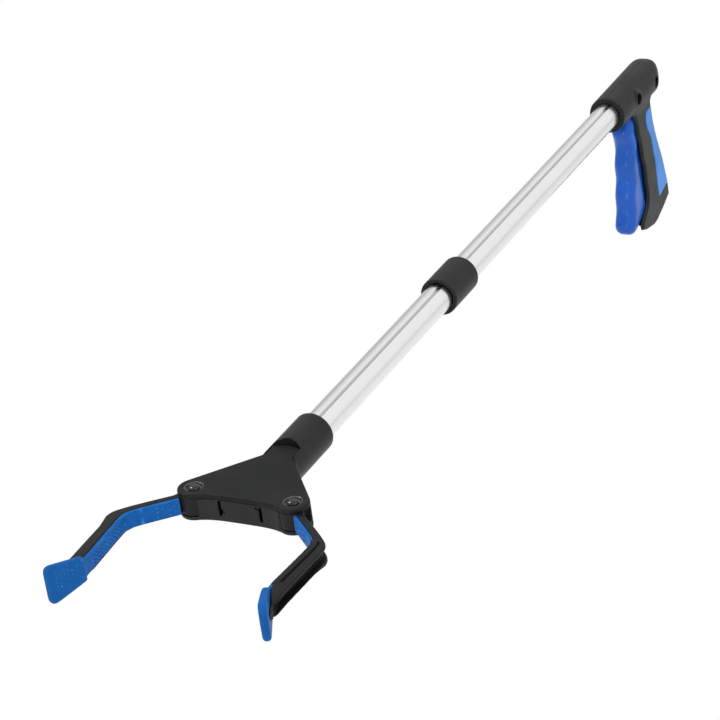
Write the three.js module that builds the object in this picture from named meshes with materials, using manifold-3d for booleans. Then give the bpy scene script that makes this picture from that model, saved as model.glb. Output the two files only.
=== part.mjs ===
// Folding reacher grabber: pistol handle with a finger trigger, two aluminium
// tubes joined by a fold hinge under a sliding collar, and a flat head with
// two rubber-lined jaws. Millimetres, +X towards the jaws, +Z up, +Y to the
// user's left. The group's origin is on the head's flat underside, midway
// between the two jaw pivots. The pieces are drawn in a frame whose origin is
// on the tubes' axis at the mouth of the head's socket.
import * as THREE from 'three';
import { mergeVertices } from 'three/addons/utils/BufferGeometryUtils.js';
import Module from 'manifold-3d';

const wasm = await Module();
wasm.setup();
const { degToRad, radToDeg } = THREE.MathUtils;

// --------------------------------------------------------- shared dimensions
const GAP = 0.3;                 // clearance between neighbouring pieces
const TUBE_R = 10.15;
const TUBE_BORE_R = 9.15;
const LOWER_TUBE_X1 = 30;        // end of the lower tube in the head
const UPPER_TUBE_X0 = -541;      // end of the upper tube in the handle
const SEAT_R = 10.45;            // seat of a tube in plastic
const PLUG_R = 8.85;             // plastic plug inside a tube
const GROOVE_DEG = 72;           // groove's place on the tube, from +Y towards +Z
const GROOVE_DEPTH = 1.5;
const PIVOT_X = 91.4;            // jaw pivots
const PIVOT_Y = 33.3;
const HEAD_HALF = 8.84;          // half the head's thickness
const SOCKET_SCREW_X = 12;
const LEVER = 11.7;              // jaw lever, pivot to drive pin
const LEVER_REST_DEG = 10;       // the lever leans back when the jaws are open
const FOLD_X = -197.8;           // fold pin
const FOLD_Z = 8.5;
const BARREL_X1 = -507.1;        // mouth of the handle's barrel
const TRIGGER_PIVOT = [-560, 4.5];        // x, z
const LINK_RADIUS = 27;          // link pin from the trigger pivot
const LINK_DEG = 6.5;            // the link pin's lean ahead of straight down
const RETAINING_PIN = [-531, 3.2];        // x, z
const ROD_Z = -5.5;              // height of the pull rod in the upper tube
const CORD_R = 0.8;

// ------------------------------------------------------------------- helpers
function solid(geometry) {
  geometry.deleteAttribute('normal');
  geometry.deleteAttribute('uv');
  const merged = mergeVertices(geometry, 1e-4);
  const mesh = new wasm.Mesh({
    numProp: 3,
    vertProperties: new Float32Array(merged.getAttribute('position').array),
    triVerts: new Uint32Array(merged.index.array),
  });
  mesh.merge();
  return new wasm.Manifold(mesh);
}
function geometryOf(manifold) {
  const mesh = manifold.getMesh();
  const geometry = new THREE.BufferGeometry();
  const positions = new Float32Array(mesh.vertProperties);
  geometry.setAttribute('position', new THREE.BufferAttribute(positions, 3));
  geometry.setIndex(new THREE.BufferAttribute(new Uint32Array(mesh.triVerts), 1));
  geometry.computeVertexNormals();
  return geometry;
}
const join = (...solids) => solids.reduce((sum, next) => sum.add(next));
const cut = (body, ...tools) => tools.reduce((rest, tool) => rest.subtract(tool), body);

const vectors = (points) => points.map(([x, y]) => new THREE.Vector2(x, y));
function flat(points, depth, holes = []) {
  const shape = new THREE.Shape(vectors(points));
  for (const hole of holes) shape.holes.push(new THREE.Path(vectors(hole)));
  return new THREE.ExtrudeGeometry(shape, { depth, bevelEnabled: false, steps: 1 });
}
// outline in X and Y, from z0 to z1
const slabZ = (points, z0, z1) => solid(flat(points, z1 - z0).translate(0, 0, z0));
// outline in X and Z, from y0 to y1
const slabY = (points, y0, y1) =>
  solid(flat(points, y1 - y0).rotateX(Math.PI / 2).translate(0, y1, 0));
// outline in Y and Z, from x0 to x1
const YZX_AXES = new THREE.Matrix4().set(0, 0, 1, 0, 1, 0, 0, 0, 0, 1, 0, 0, 0, 0, 0, 1);
const slabX = (points, x0, x1, holes) =>
  solid(flat(points, x1 - x0, holes).applyMatrix4(YZX_AXES).translate(x0, 0, 0));

// cylinders along each axis; the one along X can taper to endRadius at x1
const cylX = (radius, x0, x1, segments, z = 0, endRadius = radius) =>
  solid(new THREE.CylinderGeometry(endRadius, radius, x1 - x0, segments)
    .rotateZ(-Math.PI / 2).translate((x0 + x1) / 2, 0, z));
const cylY = (radius, y0, y1, x, z, segments) =>
  solid(new THREE.CylinderGeometry(radius, radius, y1 - y0, segments)
    .translate(x, (y0 + y1) / 2, z));
const cylZ = (radius, z0, z1, x, y, segments) =>
  solid(new THREE.CylinderGeometry(radius, radius, z1 - z0, segments)
    .rotateX(Math.PI / 2).translate(x, y, (z0 + z1) / 2));
const box = (x0, x1, y0, y1, z0, z1) =>
  solid(new THREE.BoxGeometry(x1 - x0, y1 - y0, z1 - z0)
    .translate((x0 + x1) / 2, (y0 + y1) / 2, (z0 + z1) / 2));
// profile of [radius, height] pairs turned about Y
const turned = (profile, segments) => new THREE.LatheGeometry(vectors(profile), segments);

function arc(x, y, radius, fromDeg, toDeg, steps) {
  const points = [];
  for (let i = 0; i <= steps; i++) {
    const angle = degToRad(fromDeg + (toDeg - fromDeg) * i / steps);
    points.push([x + radius * Math.cos(angle), y + radius * Math.sin(angle)]);
  }
  return points;
}
// polygon with each corner replaced by a quadratic curve, radius per corner
function rounded(points, radii, steps) {
  const corners = vectors(points);
  const count = corners.length;
  return corners.flatMap((corner, i) => {
    const back = corners[(i + count - 1) % count].clone().sub(corner);
    const ahead = corners[(i + 1) % count].clone().sub(corner);
    const trim = radii[i] / Math.tan(back.angleTo(ahead) / 2);
    const start = back.setLength(trim).add(corner);
    const end = ahead.setLength(trim).add(corner);
    return new THREE.QuadraticBezierCurve(start, corner, end).getPoints(steps).map(({ x, y }) => [x, y]);
  });
}
// open polyline moved sideways by distance, to the left of its direction
function offsetLine(points, distance) {
  const line = vectors(points);
  const normals = line.slice(1).map((point, i) => {
    const along = point.clone().sub(line[i]).normalize();
    return new THREE.Vector2(-along.y, along.x);
  });
  return line.map((point, i) => {
    const before = normals[Math.max(i - 1, 0)];
    const after = normals[Math.min(i, normals.length - 1)];
    const mitre = before.clone().add(after).normalize();
    const reach = distance / Math.max(0.3, mitre.dot(after));
    return [point.x + mitre.x * reach, point.y + mitre.y * reach];
  });
}
// closed outline from its +Y half, which ends on the X axis
function symmetric(half) {
  const mirrored = half.slice(0, -1).reverse().map(([x, y]) => [x, -y]);
  return [mirrored.pop(), ...half, ...mirrored];
}
const shiftX = (points, distance) => points.map(([x, z]) => [x + distance, z]);

const MATERIALS = {
  black: { color: 0x2b2c2f, roughness: 0.55, metalness: 0.0 },
  blackGloss: { color: 0x101113, roughness: 0.2, metalness: 0.0 },
  blue: { color: 0x1b57c4, roughness: 0.25, metalness: 0.0 },
  rubber: { color: 0x2a6cc0, roughness: 0.6, metalness: 0.0 },
  insert: { color: 0x3a86d8, roughness: 0.5, metalness: 0.0 },
  alu: { color: 0xd6d8da, roughness: 0.3, metalness: 1.0 },
  steel: { color: 0xb0b3b6, roughness: 0.35, metalness: 1.0 },
  cord: { color: 0xd8d6cc, roughness: 0.7, metalness: 0.0 },
};
const group = new THREE.Group();
const pieces = new THREE.Group();
pieces.position.set(-PIVOT_X, 0, HEAD_HALF);
group.add(pieces);
function add(name, manifold, material) {
  const look = new THREE.MeshStandardMaterial(MATERIALS[material]);
  const mesh = new THREE.Mesh(geometryOf(manifold), look);
  mesh.name = name;
  pieces.add(mesh);
}
// the piece on +Y and its mirror image on -Y
function addPair(name, manifold, material) {
  add(name + '_left', manifold, material);
  add(name + '_right', manifold.mirror([0, 1, 0]), material);
}

// --------------------------------------------------------------------- tubes
const grooveY = Math.cos(degToRad(GROOVE_DEG));
const grooveZ = Math.sin(degToRad(GROOVE_DEG));
// point at a radius in the groove's direction, and to the side of it
const groovePoint = (radius, side) =>
  [grooveY * radius + grooveZ * side, grooveZ * radius - grooveY * side];
function groovedCircle(radius, halfTop, halfBottom, steps) {
  const halfDeg = radToDeg(halfTop / radius);
  return [
    ...arc(0, 0, radius, GROOVE_DEG + halfDeg, GROOVE_DEG - halfDeg + 360, steps),
    groovePoint(radius - GROOVE_DEPTH, halfBottom),
    groovePoint(radius - GROOVE_DEPTH, -halfBottom),
  ];
}
// bar along the groove, from radius r0 to r1, its half-width going from half0 to half1
const alongGroove = (r0, r1, half0, half1, x0, x1) => slabX([
  groovePoint(r0, half0), groovePoint(r0, -half0), groovePoint(r1, -half1), groovePoint(r1, half1),
], x0, x1);
const tube = (x0, x1) => slabX(groovedCircle(TUBE_R, 1.6, 0.5, 40), x0, x1,
  [groovedCircle(TUBE_BORE_R, 1.75, 1.0, 36)]);

// what is cut off above the fold pin, so that the halves can fold;
// side is 1 for the lower half (+X) and -1 for the upper one
function foldBevel(side) {
  const reach = 40;
  const z = FOLD_Z - 0.05;
  return slabY([
    [FOLD_X - side * 8, z],
    [FOLD_X, z],
    [FOLD_X + side * reach, z + Math.tan(degToRad(9)) * reach],
    [FOLD_X + side * reach, 40],
    [FOLD_X - side * 8, 40],
  ], -20, 20);
}

const TUBE_FOLD_GAP = 4.5;       // fold pin to the end of each tube
const retainingHole = cylY(1.75, -20, 20, ...RETAINING_PIN, 16);
add('lower_tube', cut(tube(FOLD_X + TUBE_FOLD_GAP, LOWER_TUBE_X1), foldBevel(1),
  cylZ(1.9, -20, 0, SOCKET_SCREW_X, 0, 16)), 'alu');
add('upper_tube', cut(tube(UPPER_TUBE_X0, FOLD_X - TUBE_FOLD_GAP), foldBevel(-1),
  retainingHole), 'alu');

// ---------------------------------------------------------------- fold hinge
const FORK = [[-4.2, -2.5], [-0.2, 1.2]];   // upper knuckles, from y to y
const TONGUE = [[-2.2, -0.5]];              // lower knuckle between them
const KNUCKLE_R = 1.9;
const FLANGE = [0.2, 4.2];                  // distances from the fold pin
const PLUG_END = 24;
// room around the tube's groove inside a plug
const plugKeyway = (x0, x1) => alongGroove(7.3, 13, 2.1, 2.4, x0, x1);

function ferrule(side, knuckles, otherKnuckles, openingZ) {
  // distances from the fold pin as ascending X
  const span = (near, far) =>
    (side > 0 ? [FOLD_X + near, FOLD_X + far] : [FOLD_X - far, FOLD_X - near]);
  const [plug0, plug1] = span(FLANGE[1], PLUG_END);
  const [flange0, flange1] = span(...FLANGE);
  const plug = cut(cylX(PLUG_R, plug0, plug1, 36), plugKeyway(plug0 - 1, plug1 + 1));
  const flange = cut(cylX(10.0, flange0, flange1, 36),
    alongGroove(8.7, 13, 1.25, 1.5, flange0 - 1, flange1 + 1));
  let body = cut(join(plug, flange), foldBevel(side));
  for (const [y0, y1] of otherKnuckles) {
    const room = cylY(KNUCKLE_R + GAP, y0 - GAP, y1 + GAP, FOLD_X, FOLD_Z, 24);
    body = body.subtract(room);
  }
  // knuckles stay within the tube's round, under the sleeve
  const sleeveRoom = cylX(10.45, FOLD_X - 30, FOLD_X + 30, 48);
  for (const [y0, y1] of knuckles) {
    body = body.add(cylY(KNUCKLE_R, y0, y1, FOLD_X, FOLD_Z, 24).intersect(sleeveRoom));
  }
  const pinHole = cylY(1.15, -9, 9, FOLD_X, FOLD_Z, 16);
  const cordOpening = box(...span(-1, 30), -2.2, 2.2, openingZ - 3.6, openingZ + 2.6);
  return cut(body, pinHole, cordOpening);
}
add('lower_ferrule', ferrule(1, TONGUE, FORK, -2), 'black');
add('upper_ferrule', ferrule(-1, FORK, TONGUE, -4), 'black');
add('hinge_pin', cylY(1.0, FORK[0][0], 1.15, FOLD_X, FOLD_Z, 16), 'steel');

// --------------------------------------------------------------- lock sleeve
const SLEEVE_X0 = -225.0;
const SLEEVE_X1 = -187.5;
const SLEEVE_R = 12.84;
const SLEEVE_BORE_R = 10.8;
const SLEEVE_CHAMFER = 0.6;
const sleeveRing = solid(turned([
  [SLEEVE_BORE_R, SLEEVE_X0],
  [SLEEVE_R - SLEEVE_CHAMFER, SLEEVE_X0],
  [SLEEVE_R, SLEEVE_X0 + SLEEVE_CHAMFER],
  [SLEEVE_R, SLEEVE_X1 - SLEEVE_CHAMFER],
  [SLEEVE_R - SLEEVE_CHAMFER, SLEEVE_X1],
  [SLEEVE_BORE_R, SLEEVE_X1],
  [SLEEVE_BORE_R, SLEEVE_X0],
], 48).rotateZ(-Math.PI / 2));
// a key near each end runs in the tubes' groove
const sleeveKey = (x0, x1) => alongGroove(9.45, 11.4, 0.35, 1.0, x0, x1);
add('lock_sleeve', join(sleeveRing,
  sleeveKey(SLEEVE_X1 - 5, SLEEVE_X1 - 0.4),
  sleeveKey(SLEEVE_X0 + 0.4, SLEEVE_X0 + 5)), 'black');

// ---------------------------------------------------------------------- head
const SOCKET_R = 13.25;
const COVER_Z = 6.2;             // underside of the cover plate
const COVER_STEP_X = 33.5;       // step in the socket behind the cover
const LOBE_R = 10.16;            // rounded corner of the head around each pivot
const SHOULDER = [45.2, 9.45];   // where the straight neck starts to widen
const FLARE_DEG = 37.5;          // slope of the widening sides
const CAVITY = [-6.3, 7];        // from z to z
const RIVET_HOLE_R = 2.85;
// +Y half of the cavity for the yoke, the levers and the jaw hubs: x, y
const CAVITY_HALF = [
  [47, 6.6], [50, 10.4], [86, 38.0], [93.5, 30], [95.1, 25], [95.0, 14], [95.0, 0],
];

// triangular outline of the head: neck, widening side, lobe, front edge
function headOutline(rearX, inset) {
  const cos = Math.cos(degToRad(FLARE_DEG));
  const sin = Math.sin(degToRad(FLARE_DEG));
  const lobeR = LOBE_R - inset;
  return symmetric([
    [rearX, SHOULDER[1] - inset],
    [SHOULDER[0], SHOULDER[1] - inset / cos],
    [PIVOT_X - sin * lobeR, PIVOT_Y + cos * lobeR],
    ...arc(PIVOT_X, PIVOT_Y, lobeR, 120, -38, 12),
    [97.9 - inset, 22], [97.5 - inset, 14], [97.5 - inset, 0],
  ]);
}

function headHousing() {
  const coverHalfWidth = SHOULDER[1] + 0.15;
  let body = join(cylX(SOCKET_R, 0, 50, 48), slabZ(headOutline(40, 0), -HEAD_HALF, COVER_Z - GAP));
  body = cut(body,
    box(COVER_STEP_X, 60, -coverHalfWidth, coverHalfWidth, COVER_Z - GAP, 20),
    slabZ(headOutline(COVER_STEP_X, -GAP), COVER_Z - GAP, 20),
    box(COVER_STEP_X + 3, 60, -20, 20, -20, -HEAD_HALF),
    cylX(SEAT_R, -1, LOWER_TUBE_X1 + 1, 40),
    cylX(1.8, 20, 60, 16));
  let cavity = slabZ(symmetric(CAVITY_HALF), ...CAVITY);
  for (const side of [1, -1]) {
    cavity = cavity.add(cylZ(LOBE_R + 0.06, ...CAVITY, PIVOT_X, side * PIVOT_Y, 36));
  }
  body = body.subtract(cavity);
  for (const side of [1, -1]) {
    const pivotY = side * PIVOT_Y;
    // mouth for the jaw: the wall is open from the front round to the outer side
    const mouth = [[PIVOT_X, PIVOT_Y], ...arc(PIVOT_X, PIVOT_Y, 18, -20, 108, 6)]
      .map(([x, y]) => [x, side * y]);
    const slotY = side * 13.7;
    body = cut(body,
      slabZ(mouth, ...CAVITY),
      cylZ(RIVET_HOLE_R, -20, 0, PIVOT_X, pivotY, 24),
      cylZ(5.0, -20, -HEAD_HALF + 1.3, PIVOT_X, pivotY, 32),
      // narrow slot through the front wall
      box(94, 99, slotY - 1.0, slotY + 1.0, -5.2, 5.2));
  }
  return cut(body,
    cylZ(1.75, -20, -8, SOCKET_SCREW_X, 0, 16),
    cylZ(3.4, -20, -11.4, SOCKET_SCREW_X, 0, 24));
}

function headCover() {
  let cover = slabZ(headOutline(COVER_STEP_X + GAP, 0), COVER_Z, HEAD_HALF);
  for (const side of [1, -1]) {
    cover = cut(cover,
      cylZ(RIVET_HOLE_R, 0, 20, PIVOT_X, side * PIVOT_Y, 24),
      cylZ(5.3, HEAD_HALF - 1.0, 20, PIVOT_X, side * PIVOT_Y, 32));
  }
  return cover;
}

function jawRivet() {
  // radius, z
  const dome = solid(turned([
    [0, 0], [3.8, 0], [3.75, 0.5], [3.4, 1.05], [2.6, 1.6], [1.4, 1.98], [0, 2.1],
  ], 24).rotateX(Math.PI / 2));
  return join(
    cylZ(2.6, -HEAD_HALF + 0.3, HEAD_HALF + 0.1, PIVOT_X, PIVOT_Y, 20),
    dome.translate([PIVOT_X, PIVOT_Y, HEAD_HALF - 0.75]),
    cylZ(4.2, -HEAD_HALF + 0.2, -HEAD_HALF + 1.0, PIVOT_X, PIVOT_Y, 24));
}
add('head_housing', headHousing(), 'black');
add('head_cover', headCover(), 'black');
add('socket_screw', join(
  cylZ(1.5, -12.2, -8.2, SOCKET_SCREW_X, 0, 16),
  cylZ(3.0, -13.0, -11.7, SOCKET_SCREW_X, 0, 20)), 'steel');
addPair('jaw_rivet', jawRivet(), 'blackGloss');

// ---------------------------------------------------------------------- jaws
// the jaw on +Y; the other is its mirror image
// gripping side of the liner, from the pivot to the pad: x, y
const JAW_INNER = [
  [101.6, 38.1], [114.8, 52.3], [121.6, 58.9], [125.2, 61.3],
  [129.2, 61.9], [155.4, 59.9], [167.6, 58.9], [172.6, 58.9],
];
// outer side of the arm, from the tip back to the pivot: x, y
const JAW_OUTER = [
  [192.6, 70.2], [175.8, 70.0], [166.6, 70.4], [152.4, 71.2], [132.2, 72.1],
  [127.6, 71.9], [123.9, 70.6], [120.6, 67.9], [111.8, 58.9], [98.6, 43.9],
];
const PAD_ROOT = [177.3, 57.4];
const PAD_TIP = [198.6, 66.8];
const PAD_THICK = 5.2;
const LINER_THICK = 2.0;
const LINER_HALF = 5.5;
const ARM_HALF = 5.8;
const HUB = [-6.0, 5.65];        // from z to z
const LEVER_END_R = 3.5;

const padAlong = new THREE.Vector2(PAD_TIP[0] - PAD_ROOT[0], PAD_TIP[1] - PAD_ROOT[1]);
const padLength = padAlong.length();
padAlong.normalize();
const padOut = new THREE.Vector2(-padAlong.y, padAlong.x);   // away from the gripped thing
const padPoint = (along, out) => [
  PAD_ROOT[0] + padAlong.x * along + padOut.x * out,
  PAD_ROOT[1] + padAlong.y * along + padOut.y * out,
];
const leverCos = Math.cos(degToRad(LEVER_REST_DEG));
const leverSin = Math.sin(degToRad(LEVER_REST_DEG));
// point along the lever from the pivot, and to the side of it
const leverPoint = (along, side) => [
  PIVOT_X - leverSin * along + leverCos * side,
  PIVOT_Y - leverCos * along - leverSin * side,
];
const DRIVE_PIN = leverPoint(LEVER, 0);

function jawArm() {
  const outline = [
    ...offsetLine(JAW_INNER, LINER_THICK + GAP),
    padPoint(1.0, PAD_THICK + GAP), padPoint(17.0, PAD_THICK + GAP),
    ...JAW_OUTER,
  ];
  // channel open along the outer side
  const channel = [
    ...offsetLine(JAW_INNER, 5.6).slice(3, 7),
    [178, 66.2], [188.5, 69.2], [188.5, 90], [122, 90], [117.8, 66.6],
  ];
  const arm = cut(slabZ(outline, -ARM_HALF, ARM_HALF), slabZ(channel, -3.9, 3.9));
  const neck = slabZ([[96.8, 37.0], [99.9, 40.2], [99.6, 44.2], [93.0, 41.6]], -3.4, 3.4);
  const lever = slabZ([
    leverPoint(5, -5.5), leverPoint(5, 5.5),
    leverPoint(LEVER, LEVER_END_R), leverPoint(LEVER, -LEVER_END_R),
  ], ...HUB);
  // slot across the lever for the yoke's end
  const yokeSlot = slabZ([
    leverPoint(5, -16), leverPoint(5, 16), leverPoint(22, 16), leverPoint(22, -16),
  ], -2.45, 2.45);
  const hub = join(cylZ(9.85, ...HUB, PIVOT_X, PIVOT_Y, 36), neck,
    cylZ(LEVER_END_R, ...HUB, ...DRIVE_PIN, 24), lever);
  return cut(join(cut(hub, yokeSlot), arm),
    cylZ(2.8, -9, 9, PIVOT_X, PIVOT_Y, 24),
    cylZ(1.68, -9, 9, ...DRIVE_PIN, 20));
}

function jawPad() {
  const liner = slabZ([
    ...JAW_INNER,
    padPoint(-0.6, 1.6), padPoint(3, 0.8), padPoint(3, 4.0), padPoint(0.2, 4.0),
    ...offsetLine(JAW_INNER, LINER_THICK).reverse(),
  ], -LINER_HALF, LINER_HALF);
  // paddle outline along the pad and in Z, wider at the tip
  const outline = rounded(
    [[0, -7.0], [padLength, -11.7], [padLength, 11.7], [0, 7.0]], [1.2, 3.6, 3.6, 1.2], 4);
  const frame = new THREE.Matrix4().makeBasis(
    new THREE.Vector3(padAlong.x, padAlong.y, 0),
    new THREE.Vector3(0, 0, 1),
    new THREE.Vector3(-padOut.x, -padOut.y, 0));
  frame.setPosition(...padPoint(0, PAD_THICK), 0);
  return join(liner, solid(flat(outline, PAD_THICK).applyMatrix4(frame)));
}
addPair('jaw_arm', jawArm(), 'black');
addPair('drive_pin', cylZ(1.5, -5.4, 5.2, ...DRIVE_PIN, 20), 'steel');
addPair('jaw_pad', jawPad(), 'rubber');

// ------------------------------------------------- yoke, spring and pull cord
const YOKE_X = DRIVE_PIN[0] - 0.11;
const CORD_HOLE_R = 1.15;

// crossbar to one side, with an open slot at its end for the drive pin
function yokeArm(side) {
  const slotR = 1.85;
  const endY = side * 26.8;
  return slabZ([
    [YOKE_X - 3.7, 0], [YOKE_X + 3.6, 0], [YOKE_X + 3.6, endY], [YOKE_X + slotR, endY],
    ...arc(YOKE_X, side * 21.7, slotR, 0, -180 * side, 8),
    [YOKE_X - slotR, endY], [YOKE_X - 3.7, endY],
  ], -2.05, 2.05);
}
add('yoke', cut(
  join(yokeArm(1), yokeArm(-1),
    box(YOKE_X - 5.2, YOKE_X + 3.6, -6.5, 6.5, -4.6, 4.6),
    cylX(5.2, YOKE_X - 7.2, YOKE_X - 5, 24),
    cylX(3.0, YOKE_X - 14, YOKE_X - 6, 20)),
  cylX(CORD_HOLE_R, YOKE_X - 20, YOKE_X + 10, 16),
  cylX(2.5, YOKE_X - 1.5, YOKE_X + 10, 20)), 'black');

const crimp = (radius, x0, x1, z, segments, boreSegments) =>
  cut(cylX(radius, x0, x1, segments, z), cylX(CORD_HOLE_R, x0 - 5, x1 + 5, boreSegments, z));
add('cord_crimp_yoke', crimp(2.1, YOKE_X - 1.1, YOKE_X + 3.2, 0, 20, 14), 'steel');

class Coil extends THREE.Curve {
  constructor(x0, x1, radius, turns) {
    super();
    Object.assign(this, { x0, x1, radius, turns });
  }
  getPoint(t, target = new THREE.Vector3()) {
    const angle = 2 * Math.PI * this.turns * t;
    return target.set(
      this.x0 + (this.x1 - this.x0) * t,
      this.radius * Math.cos(angle),
      this.radius * Math.sin(angle));
  }
}
// round section swept along a curve
function swept(radius, sides, steps, extrudePath) {
  const section = new THREE.Shape(vectors(arc(0, 0, radius, 0, 360 - 360 / sides, sides - 1)));
  return solid(new THREE.ExtrudeGeometry(section, { steps, extrudePath, bevelEnabled: false }));
}
add('jaw_spring', swept(0.55, 5, 60, new Coil(48.2, YOKE_X - 7.9, 4.3, 5)), 'steel');
add('pull_cord_lower', cylX(CORD_R, FOLD_X + 41, YOKE_X + 2.8, 12), 'cord');
add('cord_crimp_lower', crimp(2.0, FOLD_X + 34.5, FOLD_X + 42.5, 0, 16, 12), 'steel');

// the fold cord runs from the rod's height up to the lower cord's: x from the fold pin, z
const FOLD_CORD = [[-34, ROD_Z], [-26, ROD_Z], [-6, -3.6], [12, -1.6], [28, 0], [39.5, 0]];
const foldCordPath = new THREE.CatmullRomCurve3(
  FOLD_CORD.map(([x, z]) => new THREE.Vector3(FOLD_X + x, 0, z)), false, 'centripetal');
add('fold_cord', swept(CORD_R, 8, 20, foldCordPath), 'cord');
add('cord_crimp_upper', crimp(2.0, FOLD_X - 38, FOLD_X - 30, ROD_Z, 16, 12), 'steel');

// ------------------------------------------------------------------ pull rod
const ROD_R = 0.95;
const LINK_X = TRIGGER_PIVOT[0] + LINK_RADIUS * Math.sin(degToRad(LINK_DEG));
const LINK_Z = TRIGGER_PIVOT[1] - LINK_RADIUS * Math.cos(degToRad(LINK_DEG));
const EYE_Z = LINK_Z - 0.09;

function pullRod() {
  const bend = [-541.6, ROD_Z];
  const run = LINK_X + 2.2 - bend[0];
  const rise = EYE_Z + 2.6 - bend[1];
  const slopeLength = Math.hypot(run, rise) + 1.2;
  const slope = solid(new THREE.CylinderGeometry(ROD_R, ROD_R, slopeLength, 12)
    .rotateZ(-Math.PI / 2)
    .translate(slopeLength / 2 - 0.4, 0, 0)
    .rotateY(-Math.atan2(rise, run))
    .translate(bend[0], 0, bend[1]));
  const elbow = solid(new THREE.SphereGeometry(ROD_R, 12, 8).translate(bend[0], 0, bend[1]));
  const eye = cut(cylY(3.7, -1.0, 1.0, LINK_X, EYE_Z, 24), cylY(1.95, -3, 3, LINK_X, EYE_Z, 20));
  return join(cylX(ROD_R, -542.5, FOLD_X - 36.5, 12, ROD_Z), slope, elbow, eye);
}
add('pull_rod_upper', pullRod(), 'steel');
add('trigger_link_pin', cylY(1.5, -6.9, 6.9, LINK_X, LINK_Z, 16), 'steel');

// ------------------------------------------------------------------- trigger
const TRIGGER_HALF = 7.95;
const TRIGGER_STEM_HALF = 6.7;
// front edge, top to bottom: x, z
const TRIGGER_FRONT = [
  [-555.4, -9.5], [-553.2, -13.5], [-550.2, -20], [-549.0, -25.5], [-543.5, -28.8],
  [-541.2, -31.5], [-541.3, -34.5], [-544.6, -41.5], [-544.5, -45.5], [-540.8, -51.5],
  [-539.4, -56], [-539.6, -63], [-537.4, -70], [-536.4, -77], [-536.9, -86],
  [-536.0, -92], [-532.6, -97], [-531.6, -101], [-533.0, -106.2], [-537, -109.3],
  [-542.5, -108.6],
];
// rear edge, bottom to top: x, z
const TRIGGER_REAR = [
  [-566.6, -101.2], [-566.9, -98.5], [-564.8, -84], [-562.0, -66],
  [-561.4, -50], [-562.5, -36], [-563.0, -20], [-564.2, -9.5],
];

function trigger() {
  const stem = [[-564.4, -12], [-556.2, -12], [-555.8, 3], [-564.3, 3]];
  // hollow behind the front wall, open to the rear
  const hollow = [
    [-552.9, -19.0], ...shiftX(TRIGGER_FRONT.slice(3, 18), -2.5),
    [-535.6, -104], [-542.8, -106.0], [-580, -97.5], [-580, -19.0],
  ];
  const body = join(
    slabY([...TRIGGER_FRONT, ...TRIGGER_REAR], -TRIGGER_HALF, TRIGGER_HALF),
    cylY(4.4, -TRIGGER_STEM_HALF, TRIGGER_STEM_HALF, ...TRIGGER_PIVOT, 24),
    slabY(stem, -TRIGGER_STEM_HALF, TRIGGER_STEM_HALF));
  return cut(body,
    slabY(hollow, -5.7, 5.7),
    // slot that parts the stem in two for the rod, and its wider foot
    slabY([[-545, -19.5], [-545, 14], [-580, 14], [-580, -19.5]], -3.0, 3.0),
    cylY(2.2, -20, 20, ...TRIGGER_PIVOT, 20),
    cylY(1.65, -20, 20, LINK_X, LINK_Z, 16),
    slabY([[-545, -19.5], [-545, -16.0], [-580, -16.0], [-580, -19.5]], -3.4, 3.4));
}
add('trigger', trigger(), 'blue');

// -------------------------------------------------------------------- handle
const BARREL_X0 = -613.7;        // rear end of the barrel
const BARREL_R0 = 14.4;
const BARREL_R1 = 13.6;
const GRIP_HALF = 11.4;
const CHANNEL_HALF = 8.4;        // half the width of the trigger's channel
const INSERT_THICK = 1.6;
const FRONT_SCREW = [-549.2, -0.6];       // x, z
const REAR_SCREW = [-595.4, -3.0];
const GRIP_SCREW = [-593.0, -72.0];
// barrel seen from the side, its rear end rounded off: x, z
const BARREL_SIDE = [
  [BARREL_X1, -16], [BARREL_X1, 16], [-602.5, 16], [-602.5, 14.4], [-606.5, 12.9],
  [-609.6, 10.4], [-611.8, 7.2], [-613.2, 3], [BARREL_X0, -2], [-612.6, -8.6],
  [-610.2, -12.2], [-606, -16],
];
// front and foot of the grip, top to bottom and then rearwards: x, z
const GRIP_FRONT = [
  [-541.5, -8], [-543.7, -15.6], [-547.1, -34.8], [-551.1, -58.6], [-554.8, -84.6],
  [-555.6, -96], [-553.6, -103.5], [-551.5, -108.2], [-554.5, -111.3], [-562, -113.6],
  [-573, -115.3], [-580, -114.6], [-596, -109.6],
];
// back of the grip, top to bottom: x, z
const GRIP_BACK = [
  [-584.4, -10.2], [-585.2, -21.3], [-586.4, -30], [-589.3, -40.6], [-594.0, -52.5],
  [-599.4, -65], [-604.6, -79.5], [-609.6, -94.5], [-612.1, -103.1],
];
// room for the mechanism behind the tube: x, z
const MECHANISM_ROOM = [
  [-602, -11], [-542, -11], [-542, 20], [-596, 20], [-602, 9], [-604.5, 3], [-604.5, -8],
];
// channel that the trigger moves in, open to the front: x, z
const TRIGGER_CHANNEL = [
  [-500, -13.8], [-543, -13.8], [-543, -5], [-568, -5], [-578, -12], [-580.6, -22],
  [-584.0, -40], [-591.5, -58], [-597, -76], [-603, -94], [-606.0, -101.2],
  [-588, -110.2], [-579, -113.0], [-573, -113.4], [-565.5, -112.7], [-562, -120],
  [-500, -120],
];
// soft insert, counter-clockwise: the grip's back, then its own front from the
// bottom up, then its top edge rearwards: x, z
const INSERT_BACK = GRIP_BACK.slice(1, 7);
const INSERT_OUTLINE = [
  ...INSERT_BACK, [-608.6, -92.0],
  [-586.6, -96.5], [-584.2, -84], [-583.4, -74], [-582.6, -64], [-579.6, -56],
  [-578.2, -47], [-575.6, -40], [-569.4, -32], [-567.6, -25], [-569.4, -19.5],
  [-571.8, -17.9], [-577, -17.6], [-584.9, -17.0],
];

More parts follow.
